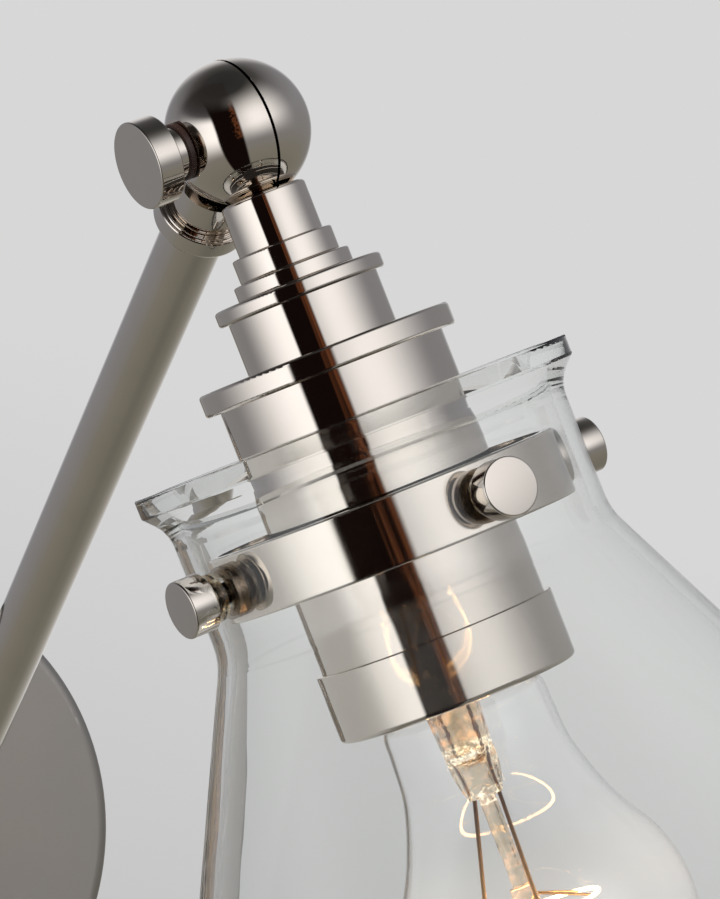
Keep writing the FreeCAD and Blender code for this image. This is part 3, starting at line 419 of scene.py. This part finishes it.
def zinc_steel():
    """Zinc-plated steel, barrel plated: cool satin with small crystal patches."""
    material, tree, shader, place = new_material("zinc_plated_steel")
    patches = node(tree, "ShaderNodeTexVoronoi", {"Vector": place, "Scale": per_mm(3)})
    grain = node(tree, "ShaderNodeTexNoise", {"Vector": place, "Scale": per_mm(1.2), "Detail": 4.0})
    shade = blend_colours(tree, patches.outputs["Distance"], "#A9ACAF", "#C2C4C4")
    gloss = node(tree, "ShaderNodeMapRange", {"Value": grain.outputs["Fac"], "To Min": 0.22,
                                              "To Max": 0.48})
    bump = node(tree, "ShaderNodeBump", {"Height": grain.outputs["Fac"], "Strength": 0.2,
                                         "Distance": 0.05 * MM})
    shader.inputs["Metallic"].default_value = 1.0
    tree.links.new(shade, shader.inputs["Base Color"])
    tree.links.new(gloss.outputs["Result"], shader.inputs["Roughness"])
    tree.links.new(bump.outputs["Normal"], shader.inputs["Normal"])
    return material


def fibre_washer():
    """Vulcanised fibre, punched from sheet: dark brown, slightly waxy, with fine matted fibres."""
    material, tree, shader, place = new_material("vulcanised_fibre")
    fibres = node(tree, "ShaderNodeTexNoise", {"Vector": place, "Scale": per_mm(0.8), "Detail": 6.0,
                                               "Distortion": 1.5})
    shade = blend_colours(tree, fibres.outputs["Fac"], "#241714", "#4A342C")
    bump = node(tree, "ShaderNodeBump", {"Height": fibres.outputs["Fac"], "Strength": 0.35,
                                         "Distance": 0.08 * MM})
    shader.inputs["Roughness"].default_value = 0.42
    tree.links.new(shade, shader.inputs["Base Color"])
    tree.links.new(bump.outputs["Normal"], shader.inputs["Normal"])
    return material


def spun_brass():
    """Brass, pressed and turned: yellow metal with a little brown tarnish in patches."""
    material, tree, shader, place = new_material("pressed_brass")
    tarnish = node(tree, "ShaderNodeTexNoise", {"Vector": place, "Scale": per_mm(6), "Detail": 6.0})
    shade = blend_colours(tree, tarnish.outputs["Fac"], "#A07C3C", "#D9B568")
    gloss = node(tree, "ShaderNodeMapRange", {"Value": tarnish.outputs["Fac"], "To Min": 0.34,
                                              "To Max": 0.14})
    shader.inputs["Metallic"].default_value = 1.0
    tree.links.new(shade, shader.inputs["Base Color"])
    tree.links.new(gloss.outputs["Result"], shader.inputs["Roughness"])
    return material


def earth_screw_green():
    """Green lacquer on a steel screw: dyed and glossy, thinner where it ran off the edges."""
    material, tree, shader, place = new_material("green_lacquered_steel")
    runs = node(tree, "ShaderNodeTexNoise", {"Vector": place, "Scale": per_mm(1.5), "Detail": 3.0})
    shade = blend_colours(tree, runs.outputs["Fac"], "#14502A", "#2E8A4A")
    shader.inputs["Metallic"].default_value = 0.55
    shader.inputs["Roughness"].default_value = 0.28
    shader.inputs["Coat Weight"].default_value = 0.5
    tree.links.new(shade, shader.inputs["Base Color"])
    return material


def glazed_porcelain():
    """Porcelain under a clear glaze: cream white, glassy, with a slight unevenness and a few specks."""
    material, tree, shader, place = new_material("glazed_porcelain")
    pool = node(tree, "ShaderNodeTexNoise", {"Vector": place, "Scale": per_mm(12), "Detail": 3.0})
    specks = node(tree, "ShaderNodeTexVoronoi", {"Vector": place, "Scale": per_mm(5)})
    speck = node(tree, "ShaderNodeMapRange", {"Value": specks.outputs["Distance"], "From Min": 0.05,
                                              "From Max": 0.09})
    body = blend_colours(tree, pool.outputs["Fac"], "#E4DED2", "#F3F0E8")
    shade = node(tree, "ShaderNodeMix", {"Factor": speck.outputs["Result"], 6: colour("#9A8B78"), 7: body},
                 data_type="RGBA")
    bump = node(tree, "ShaderNodeBump", {"Height": pool.outputs["Fac"], "Strength": 0.12,
                                         "Distance": 0.2 * MM})
    shader.inputs["Roughness"].default_value = 0.14
    shader.inputs["Coat Weight"].default_value = 0.6
    tree.links.new(shade.outputs[2], shader.inputs["Base Color"])
    tree.links.new(bump.outputs["Normal"], shader.inputs["Normal"])
    return material


def blown_glass():
    """Soda-lime glass, blown and fire-polished: clear, slightly wavy, faintly green where thick."""
    material, tree, shader, place = new_material("blown_soda_lime_glass")
    wave = node(tree, "ShaderNodeTexNoise", {"Vector": place, "Scale": per_mm(26), "Detail": 1.0})
    shade = blend_colours(tree, wave.outputs["Fac"], "#FEFFFE", "#FFFFFF")
    bump = node(tree, "ShaderNodeBump", {"Height": wave.outputs["Fac"], "Strength": 0.12,
                                         "Distance": 0.3 * MM})
    thickness = node(tree, "ShaderNodeVolumeAbsorption", {"Color": colour("#D6EBDD"), "Density": 8.0})
    shader.inputs["Transmission Weight"].default_value = 1.0
    shader.inputs["IOR"].default_value = 1.48
    shader.inputs["Roughness"].default_value = 0.0
    tree.links.new(shade, shader.inputs["Base Color"])
    tree.links.new(bump.outputs["Normal"], shader.inputs["Normal"])
    tree.links.new(thickness.outputs["Volume"], tree.nodes["Material Output"].inputs["Volume"])
    return material


def clear_nylon():
    """Moulded nylon: clear, tinted straw brown in clouds, soft gloss."""
    material, tree, shader, place = new_material("clear_nylon")
    cloud = node(tree, "ShaderNodeTexNoise", {"Vector": place, "Scale": per_mm(2), "Detail": 2.0})
    shade = blend_colours(tree, cloud.outputs["Fac"], "#C9B396", "#E9E6D4")
    shader.inputs["Transmission Weight"].default_value = 1.0
    shader.inputs["IOR"].default_value = 1.53
    shader.inputs["Roughness"].default_value = 0.04
    tree.links.new(shade, shader.inputs["Base Color"])
    return material


def bulb_envelope_glass():
    """Thin blown lamp glass: clear, with a faint ripple, and a painted glow near the filament that the glass emits
    itself.
    """
    material, tree, shader, place = new_material("thin_lamp_glass")
    ripple = node(tree, "ShaderNodeTexNoise", {"Vector": place, "Scale": per_mm(15), "Detail": 2.0})
    shade = blend_colours(tree, ripple.outputs["Fac"], "#FEFEFD", "#FFFFFF")
    level = FILAMENT_DROP - COLLAR_DROP
    away = node(tree, "ShaderNodeMath", {0: drop_of(tree, place), 1: level}, operation="SUBTRACT")
    aside = node(tree, "ShaderNodeMath", {0: away.outputs[0]}, operation="ABSOLUTE")
    near = node(tree, "ShaderNodeMapRange", {"Value": aside.outputs[0], "From Min": PAINTED_GLOW_REACH,
                                             "From Max": 0.0}, interpolation_type="SMOOTHSTEP")
    # Painted glow: the glass emits a faint warm light near the filament's level, standing in for the filament's
    # light.
    haze_and_painted_glow = blend_colours(tree, near.outputs["Result"], "#202022", "#3A3430")
    bump = node(tree, "ShaderNodeBump", {"Height": ripple.outputs["Fac"], "Strength": 0.06,
                                         "Distance": 0.2 * MM})
    shader.inputs["Transmission Weight"].default_value = 1.0
    shader.inputs["IOR"].default_value = 1.5
    shader.inputs["Roughness"].default_value = 0.0
    shader.inputs["Emission Strength"].default_value = 1.0
    tree.links.new(haze_and_painted_glow, shader.inputs["Emission Color"])
    tree.links.new(shade, shader.inputs["Base Color"])
    tree.links.new(bump.outputs["Normal"], shader.inputs["Normal"])
    return material


def lamp_foot_glass():
    """Lead glass of the foot, melted round the wires: small ripples, with a painted amber glow and painted
    yellow-white glints at both ends of the press, which the glass emits in place of the filament's light.
    """
    material, tree, shader, place = new_material("lead_glass_foot")
    ripple = node(tree, "ShaderNodeTexNoise", {"Vector": place, "Scale": per_mm(2.4), "Detail": 4.0})
    shade = blend_colours(tree, ripple.outputs["Fac"], "#EED6AE", "#FFFCF6")
    # Painted glow: amber light emitted where the ripples are brightest.
    lit = node(tree, "ShaderNodeMapRange", {"Value": ripple.outputs["Fac"], "From Min": 0.54,
                                            "From Max": 0.74})
    painted_amber_glow = blend_colours(tree, lit.outputs["Result"], "#000000", "#D08A3E")
    # Painted glints: yellow-white light emitted in small spots at both ends of the press.
    folds = node(tree, "ShaderNodeTexNoise", {"Vector": place, "Scale": per_mm(1.1), "Detail": 2.0,
                                              "Distortion": 1.2})
    painted_sparkle = node(tree, "ShaderNodeMapRange", {"Value": folds.outputs["Fac"], "From Min": 0.52,
                                                "From Max": 0.62}).outputs["Result"]
    drop = drop_of(tree, place)
    ends = 0.0
    for press_end in PRESS_DROPS:
        away = node(tree, "ShaderNodeMath", {0: drop, 1: press_end, 2: PAINTED_GLINT_REACH}, operation="COMPARE")
        ends = node(tree, "ShaderNodeMath", {0: ends, 1: away.outputs[0]}, operation="ADD").outputs[0]
    painted_glint = node(tree, "ShaderNodeMath", {0: ends, 1: painted_sparkle}, operation="MULTIPLY").outputs[0]
    glow = node(tree, "ShaderNodeMix", {"Factor": painted_glint, 6: painted_amber_glow, 7: colour("#FFF3D6")},
                data_type="RGBA").outputs[2]
    bump = node(tree, "ShaderNodeBump", {"Height": ripple.outputs["Fac"], "Strength": 0.5,
                                         "Distance": 0.4 * MM})
    shader.inputs["Transmission Weight"].default_value = 1.0
    shader.inputs["IOR"].default_value = 1.56
    shader.inputs["Roughness"].default_value = 0.03
    shader.inputs["Emission Strength"].default_value = 0.6
    tree.links.new(shade, shader.inputs["Base Color"])
    tree.links.new(glow, shader.inputs["Emission Color"])
    tree.links.new(bump.outputs["Normal"], shader.inputs["Normal"])
    return material


def rolled_brass_cap():
    """Rolled sheet brass of the bulb's cap: pale gold with rubbed bright threads."""
    material, tree, shader, place = new_material("rolled_sheet_brass")
    rub = node(tree, "ShaderNodeTexNoise", {"Vector": place, "Scale": per_mm(4), "Detail": 5.0})
    shade = blend_colours(tree, rub.outputs["Fac"], "#B79F6B", "#E2D2A6")
    gloss = node(tree, "ShaderNodeMapRange", {"Value": rub.outputs["Fac"], "To Min": 0.36, "To Max": 0.16})
    shader.inputs["Metallic"].default_value = 1.0
    tree.links.new(shade, shader.inputs["Base Color"])
    tree.links.new(gloss.outputs["Result"], shader.inputs["Roughness"])
    return material


def black_vitrite():
    """Vitrite, the black glass between a bulb's cap and its tip: poured, glossy, with small pits."""
    material, tree, shader, place = new_material("black_vitrite")
    pits = node(tree, "ShaderNodeTexVoronoi", {"Vector": place, "Scale": per_mm(1.4)})
    shade = blend_colours(tree, pits.outputs["Distance"], "#0B0A0C", "#211F24")
    bump = node(tree, "ShaderNodeBump", {"Height": pits.outputs["Distance"], "Strength": 0.2,
                                         "Distance": 0.1 * MM})
    shader.inputs["Roughness"].default_value = 0.16
    tree.links.new(shade, shader.inputs["Base Color"])
    tree.links.new(bump.outputs["Normal"], shader.inputs["Normal"])
    return material


def tip_solder():
    """Tin solder, dabbed on hot: soft grey metal with a lumpy skin."""
    material, tree, shader, place = new_material("tin_solder")
    lumps = node(tree, "ShaderNodeTexNoise", {"Vector": place, "Scale": per_mm(1.6), "Detail": 3.0})
    shade = blend_colours(tree, lumps.outputs["Fac"], "#8F9092", "#B9BABA")
    bump = node(tree, "ShaderNodeBump", {"Height": lumps.outputs["Fac"], "Strength": 0.4,
                                         "Distance": 0.2 * MM})
    shader.inputs["Metallic"].default_value = 1.0
    shader.inputs["Roughness"].default_value = 0.38
    tree.links.new(shade, shader.inputs["Base Color"])
    tree.links.new(bump.outputs["Normal"], shader.inputs["Normal"])
    return material


def lead_wire():
    """Copper-clad nickel wire, drawn: reddish metal of random tone, painted golden towards the filament as its
    light and painted darker towards the foot as shade.
    """
    material, tree, shader, place = new_material("copper_clad_wire")
    flame = node(tree, "ShaderNodeTexNoise", {"Vector": place, "Scale": per_mm(5), "Detail": 3.0})
    painted_shade_wire = blend_colours(tree, flame.outputs["Fac"], "#4A382E", "#7A5C48")
    hot_and_glow_lit = blend_colours(tree, flame.outputs["Fac"], "#B07C42", "#E0B878")
    # Painted light: the wire's colour goes from painted shade at the press to a painted golden light at the
    # filament.
    heat_and_painted_light = node(tree, "ShaderNodeMapRange", {"Value": drop_of(tree, place), "From Min": PRESS_DROPS[1],
                                             "From Max": FILAMENT_DROP - COLLAR_DROP})
    shade = node(tree, "ShaderNodeMix", {"Factor": heat_and_painted_light.outputs["Result"], 6: painted_shade_wire, 7: hot_and_glow_lit},
                 data_type="RGBA").outputs[2]
    shader.inputs["Metallic"].default_value = 1.0
    shader.inputs["Roughness"].default_value = 0.3
    tree.links.new(shade, shader.inputs["Base Color"])
    return material


def glowing_tungsten():
    """Tungsten wire at work: yellow-white heat, a little cooler in places."""
    material, tree, shader, place = new_material("glowing_tungsten")
    heat_and_painted_light = node(tree, "ShaderNodeTexNoise", {"Vector": place, "Scale": per_mm(4), "Detail": 2.0})
    glow = blend_colours(tree, heat_and_painted_light.outputs["Fac"], "#FFB45C", "#FFE0A6")
    shader.inputs["Base Color"].default_value = colour("#4A4038")
    shader.inputs["Metallic"].default_value = 1.0
    shader.inputs["Roughness"].default_value = 0.5
    shader.inputs["Emission Strength"].default_value = 280.0
    tree.links.new(glow, shader.inputs["Emission Color"])
    return material


# Pieces made here

def node_tree_with(name, sizes):
    """An empty geometry tree with named size inputs, and its input and output nodes."""
    tree = bpy.data.node_groups.new(name, "GeometryNodeTree")
    for label in sizes:
        tree.interface.new_socket(label, in_out="INPUT", socket_type="NodeSocketFloat")
    tree.interface.new_socket("Geometry", in_out="OUTPUT", socket_type="NodeSocketGeometry")
    return tree, node(tree, "NodeGroupInput").outputs, node(tree, "NodeGroupOutput")


def mesh_from_tree(tree, sizes):
    """Runs a geometry tree with these sizes and gives the plain mesh that it makes."""
    carrier = bpy.data.objects.new(tree.name, bpy.data.meshes.new(tree.name))
    bpy.context.scene.collection.objects.link(carrier)
    modifier = carrier.modifiers.new("shape", "NODES")
    modifier.node_group = tree
    for socket in tree.interface.items_tree:
        if socket.in_out == "INPUT":
            modifier[socket.identifier] = sizes[socket.name]
    depsgraph = bpy.context.evaluated_depsgraph_get()
    mesh = bpy.data.meshes.new_from_object(carrier.evaluated_get(depsgraph))
    bpy.data.objects.remove(carrier)
    return mesh


def thread_tree(material):
    """Screw thread round the Z axis: a tube with a ridge along a helix that fades at both ends."""
    sizes = ("Radius", "Depth", "Pitch", "Length")
    tree, given, out = node_tree_with("screw_thread", sizes)
    sheet = node(tree, "GeometryNodeMeshGrid", {"Size X": 1.0, "Size Y": 1.0,
                                                "Vertices X": THREAD_SIDES + 1,
                                                "Vertices Y": THREAD_ROWS})
    spot = node(tree, "GeometryNodeInputPosition").outputs["Position"]
    parts = node(tree, "ShaderNodeSeparateXYZ", {"Vector": spot})
    turn = node(tree, "ShaderNodeMath", {0: parts.outputs["X"], 1: 2 * math.pi},
                operation="MULTIPLY").outputs[0]
    share = node(tree, "ShaderNodeMath", {0: parts.outputs["Y"], 1: 0.5}, operation="ADD").outputs[0]
    along = node(tree, "ShaderNodeMath", {0: share, 1: given["Length"]}, operation="MULTIPLY").outputs[0]
    turns = node(tree, "ShaderNodeMath", {0: along, 1: given["Pitch"]}, operation="DIVIDE").outputs[0]
    phase = node(tree, "ShaderNodeMath", {0: turns, 1: parts.outputs["X"]},
                 operation="SUBTRACT").outputs[0]
    flank = node(tree, "ShaderNodeMath", {0: phase, 1: 0.5}, operation="PINGPONG").outputs[0]
    ridge = node(tree, "ShaderNodeMapRange", {"Value": flank, "From Min": THREAD_FLANK[0],
                                              "From Max": THREAD_FLANK[1]}).outputs["Result"]
    start = node(tree, "ShaderNodeMapRange", {"Value": share, "From Min": 0.0,
                                              "From Max": THREAD_RUN_IN}).outputs["Result"]
    end = node(tree, "ShaderNodeMapRange", {"Value": share, "From Min": 1.0,
                                            "From Max": THREAD_RUN_OUT}).outputs["Result"]
    ends = node(tree, "ShaderNodeMath", {0: start, 1: end}, operation="MULTIPLY").outputs[0]
    crest = node(tree, "ShaderNodeMath", {0: ridge, 1: ends}, operation="MULTIPLY").outputs[0]
    sunk = node(tree, "ShaderNodeMath", {0: 1.0, 1: crest}, operation="SUBTRACT").outputs[0]
    drop = node(tree, "ShaderNodeMath", {0: sunk, 1: given["Depth"]}, operation="MULTIPLY").outputs[0]
    radius = node(tree, "ShaderNodeMath", {0: given["Radius"], 1: drop}, operation="SUBTRACT").outputs[0]
    cosine = node(tree, "ShaderNodeMath", {0: turn}, operation="COSINE").outputs[0]
    sine = node(tree, "ShaderNodeMath", {0: turn}, operation="SINE").outputs[0]
    across = node(tree, "ShaderNodeCombineXYZ", {"X": cosine, "Y": sine})
    ring = node(tree, "ShaderNodeVectorMath", {0: across.outputs[0], "Scale": radius}, operation="SCALE")
    rise = node(tree, "ShaderNodeCombineXYZ", {"Z": along})
    point = node(tree, "ShaderNodeVectorMath", {0: ring.outputs[0], 1: rise.outputs[0]}, operation="ADD")
    rolled = node(tree, "GeometryNodeSetPosition", {"Geometry": sheet.outputs["Mesh"],
                                                    "Position": point.outputs[0]})
    closed = node(tree, "GeometryNodeMergeByDistance",
                  {"Geometry": rolled.outputs[0], "Distance": 0.002 * MM})
    whole = node(tree, "GeometryNodeRealizeInstances", {"Geometry": closed.outputs[0]})
    plated = node(tree, "GeometryNodeSetMaterial", {"Geometry": whole.outputs[0], "Material": material})
    tree.links.new(plated.outputs[0], out.inputs[0])
    return tree


def coil_tree(material):
    """Wire wound along an arc round the Z axis."""
    sizes = ("Spread", "Start", "Span", "Coil Radius", "Turns", "Wire Radius")
    tree, given, out = node_tree_with("filament_coil", sizes)
    arc = node(tree, "GeometryNodeCurveArc", {"Resolution": FILAMENT_POINTS, "Radius": given["Spread"],
                                              "Start Angle": given["Start"], "Sweep Angle": given["Span"]})
    share = node(tree, "GeometryNodeSplineParameter").outputs["Factor"]
    spot = node(tree, "GeometryNodeInputPosition").outputs["Position"]
    outward = node(tree, "ShaderNodeVectorMath", {0: spot}, operation="NORMALIZE").outputs[0]
    turns = node(tree, "ShaderNodeMath", {0: share, 1: given["Turns"]}, operation="MULTIPLY").outputs[0]
    wound = node(tree, "ShaderNodeMath", {0: turns, 1: 2 * math.pi}, operation="MULTIPLY").outputs[0]
    cosine = node(tree, "ShaderNodeMath", {0: wound}, operation="COSINE").outputs[0]
    sine = node(tree, "ShaderNodeMath", {0: wound}, operation="SINE").outputs[0]
    sideways = node(tree, "ShaderNodeVectorMath", {0: outward, "Scale": cosine}, operation="SCALE")
    upwards = node(tree, "ShaderNodeCombineXYZ", {"Z": sine})
    around = node(tree, "ShaderNodeVectorMath", {0: sideways.outputs[0], 1: upwards.outputs[0]},
                  operation="ADD")
    offset = node(tree, "ShaderNodeVectorMath", {0: around.outputs[0], "Scale": given["Coil Radius"]},
                  operation="SCALE")
    helix = node(tree, "GeometryNodeSetPosition", {"Geometry": arc.outputs["Curve"],
                                                   "Offset": offset.outputs[0]})
    section = node(tree, "GeometryNodeCurvePrimitiveCircle",
                   {"Resolution": FILAMENT_WIRE_SIDES, "Radius": given["Wire Radius"]})
    wire = node(tree, "GeometryNodeCurveToMesh", {"Curve": helix.outputs[0],
                                                  "Profile Curve": section.outputs["Curve"],
                                                  "Fill Caps": True})
    whole = node(tree, "GeometryNodeRealizeInstances", {"Geometry": wire.outputs[0]})
    hot_and_glow_lit = node(tree, "GeometryNodeSetMaterial", {"Geometry": whole.outputs[0], "Material": material})
    tree.links.new(hot_and_glow_lit.outputs[0], out.inputs[0])
    return tree


def lathe(corners, steps=64):
    """Closed solid of (radius, height) corners turned about the Z axis, as bmesh."""
    shape = bmesh.new()
    line = [shape.verts.new((radius, 0, height)) for radius, height in corners]
    edges = [shape.edges.new(pair) for pair in zip(line, line[1:])]
    bmesh.ops.spin(shape, geom=line + edges, cent=(0, 0, 0), axis=(0, 0, 1), angle=2 * math.pi,
                   steps=steps, use_merge=True)
    bmesh.ops.remove_doubles(shape, verts=shape.verts, dist=0.001 * MM)
    bmesh.ops.recalc_face_normals(shape, faces=shape.faces)
    return shape


def rounded(radius, height, size, start_degrees, steps=6):
    """Quarter-round corner points inside (radius, height), from a direction a quarter turn on."""
    first = math.radians(start_degrees)
    centre_r = radius - size
    centre_h = height - size * (1 if start_degrees == 0 else -1)
    points = []
    for k in range(steps + 1):
        angle = first + math.pi / 2 * k / steps
        points.append((centre_r + size * math.cos(angle), centre_h + size * math.sin(angle)))
    return points


def smooth_piece(name, shape, material, sharp_degrees=40):
    """A mesh object at the origin with smooth faces and sharp corners."""
    for face in shape.faces:
        face.smooth = True
    limit = math.radians(sharp_degrees)
    for edge in shape.edges:
        edge.smooth = not (len(edge.link_faces) == 2 and edge.calc_face_angle() > limit)
    mesh = bpy.data.meshes.new(name)
    shape.to_mesh(mesh)
    shape.free()
    mesh.materials.append(material)
    piece = bpy.data.objects.new(name, mesh)
    bpy.context.scene.collection.objects.link(piece)
    return piece


def along_axis(start, axis, side):
    """Matrix that puts a piece drawn along Z on a line from start, with X to the side."""
    z = axis.normalized()
    x = (side - z * side.dot(z)).normalized()
    return Matrix.Translation(start) @ Matrix((x, z.cross(x), z)).transposed().to_4x4()


def add_thumb_screws(material):
    """Thumb screws with their cut threads, in place of the plain CAD shanks."""
    root = THREAD_R - THREAD_DEPTH
    thread_length = SCREW_HEAD - SCREW_POINT - POINT_EDGE
    thread = mesh_from_tree(thread_tree(material), {"Radius": THREAD_R, "Depth": THREAD_DEPTH + THREAD_SINK,
                                                    "Pitch": THREAD_PITCH, "Length": thread_length})
    corners = [(0, SCREW_POINT), (root - POINT_EDGE, SCREW_POINT), (root, SCREW_POINT + POINT_EDGE),
               (root, SCREW_HEAD)]
    corners += rounded(SCREW_HEAD_R, SCREW_HEAD, SCREW_HEAD_EDGE, -90)
    corners += rounded(SCREW_HEAD_R, SCREW_FACE, SCREW_HEAD_EDGE, 0)
    corners += [(0, SCREW_FACE)]
    for k in (1, 2, 3, 4):
        joint = joint_of(f"thumb_screw_{k}_turn")
        place = along_axis(Vector(joint["pos_m"]), Vector(joint["axis"]), DOWN)
        shape = lathe(corners)
        cut = bmesh.new()
        cut.from_mesh(thread)
        bmesh.ops.translate(cut, verts=cut.verts, vec=(0, 0, SCREW_POINT + POINT_EDGE))
        moved = bpy.data.meshes.new("moved_thread")
        cut.to_mesh(moved)
        cut.free()
        shape.from_mesh(moved)
        bpy.data.meshes.remove(moved)
        shape.transform(place)
        piece = smooth_piece(f"threaded_thumb_screw_{k}", shape, material)
        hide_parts(f"thumb_screw_{k}")
        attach(piece, f"thumb_screw_{k}")


def bulb_line():
    """Outline of the bulb from its seal in the cap to the middle of its round end, as (radius, drop)."""
    knots = [Vector((radius, 0, drop)) * MM for radius, drop in BULB_NECK]
    meet = Vector((math.sin(BULB_MEET), 0, -math.cos(BULB_MEET))) * BULB_R + Vector((0, 0, BULB_CENTRE))
    onward = Vector((math.cos(BULB_MEET), 0, math.sin(BULB_MEET)))
    knots.append(meet)
    line = [Vector((radius, 0, drop)) * MM for radius, drop in BULB_SEAL]
    for k in range(len(knots) - 1):
        start = knots[k]
        end = knots[k + 1]
        leave = (end - knots[k - 1]) / 6 if k else Vector((1, 0, 0)) * (end - start).length / 3
        arrive = (knots[k + 2] - start) / 6 if k + 2 < len(knots) else onward * (end - start).length / 3
        line += interpolate_bezier(start, start + leave, end - arrive, end, BULB_STEPS)[1:]
    for k in range(1, 3 * BULB_STEPS + 1):
        angle = BULB_MEET + (math.pi - BULB_MEET) * k / (3 * BULB_STEPS)
        line.append(Vector((math.sin(angle) * BULB_R, 0, BULB_CENTRE - math.cos(angle) * BULB_R)))
    line[-1].x = 0
    return line


def add_bulb_envelope(material):
    """Blown envelope with a rounded shoulder at the cap, in place of the creased and thicker CAD one."""
    outer = bulb_line()
    inner = []
    for k, point in enumerate(outer):
        run = (outer[min(k + 1, len(outer) - 1)] - outer[max(k - 1, 0)]).normalized()
        inner.append(point + Vector((-run.z, 0, run.x)) * BULB_WALL)
    inner[-1].x = 0
    corners = [(point.x, point.z) for point in outer + inner[::-1] + outer[:1]]
    shape = lathe(corners, steps=BULB_SIDES)
    shape.transform(along_axis(UPPER_BALL + DOWN * COLLAR_DROP, DOWN, Vector((1, 0, 0))))
    piece = smooth_piece("blown_bulb_envelope", shape, material)
    piece.visible_shadow = False
    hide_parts("bulb_glass")
    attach(piece, "bulb")


def add_filament(material):
    """The filament's coil, in place of the plain CAD bar."""
    mesh = mesh_from_tree(coil_tree(material), {
        "Spread": FILAMENT_SPREAD, "Start": FILAMENT_START, "Span": FILAMENT_SPAN,
        "Coil Radius": FILAMENT_COIL, "Turns": float(FILAMENT_TURNS), "Wire Radius": FILAMENT_WIRE})
    place = along_axis(UPPER_BALL + DOWN * FILAMENT_DROP, DOWN, Vector((1, 0, 0)))
    mesh.transform(place @ Matrix.Translation(FILAMENT_SHIFT))
    mesh.materials.clear()
    mesh.materials.append(material)
    piece = bpy.data.objects.new("wound_filament", mesh)
    bpy.context.scene.collection.objects.link(piece)
    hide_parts("bulb_filament")
    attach(piece, "bulb")


# Assembly

add_camera()
add_world()
add_floor()
add_lamp()

finishes = {
    "polished_nickel": buffed_nickel("polished_nickel_plate", "#DDD5CB", "#E7DFD7", 0.025, 0.075),
    "zinc_steel": zinc_steel(),
    "dark_washer": fibre_washer(),
    "brass": spun_brass(),
    "green_screw": earth_screw_green(),
    "porcelain": glazed_porcelain(),
    "clear_glass": blown_glass(),
    "clear_sleeve": clear_nylon(),
    "bulb_glass": bulb_envelope_glass(),
    "bulb_cap": rolled_brass_cap(),
    "black_glass": black_vitrite(),
    "solder": tip_solder(),
    "lead_wire": lead_wire(),
    "filament": glowing_tungsten(),
}
for subpart in frame["record"]["subparts"]:
    frame["nodes"][subpart["node"]].material_slots[0].material = finishes[subpart["material_slot"]]
frame["nodes"]["bulb_mount"].material_slots[0].material = lamp_foot_glass()
# The screw bosses get a nickel painted dark as shade.
frame["nodes"]["screw_bosses"].material_slots[0].material = shaded_boss_nickel()
# The backplate's nickel is satin, and painted darker than the other nickel as painted shade.
shaded_plate_nickel = buffed_nickel("satin_plate_nickel_painted_shade", "#B6B2AD", "#BAB6B1", 0.37, 0.42)
frame["nodes"]["backplate"].material_slots[0].material = shaded_plate_nickel
for name in ("glass_shade", "bulb_mount", "screw_sleeves"):
    frame["nodes"][name].visible_shadow = False
add_thumb_screws(finishes["polished_nickel"])
add_bulb_envelope(finishes["bulb_glass"])
add_filament(finishes["filament"])
bpy.context.scene.view_settings.view_transform = "Standard"
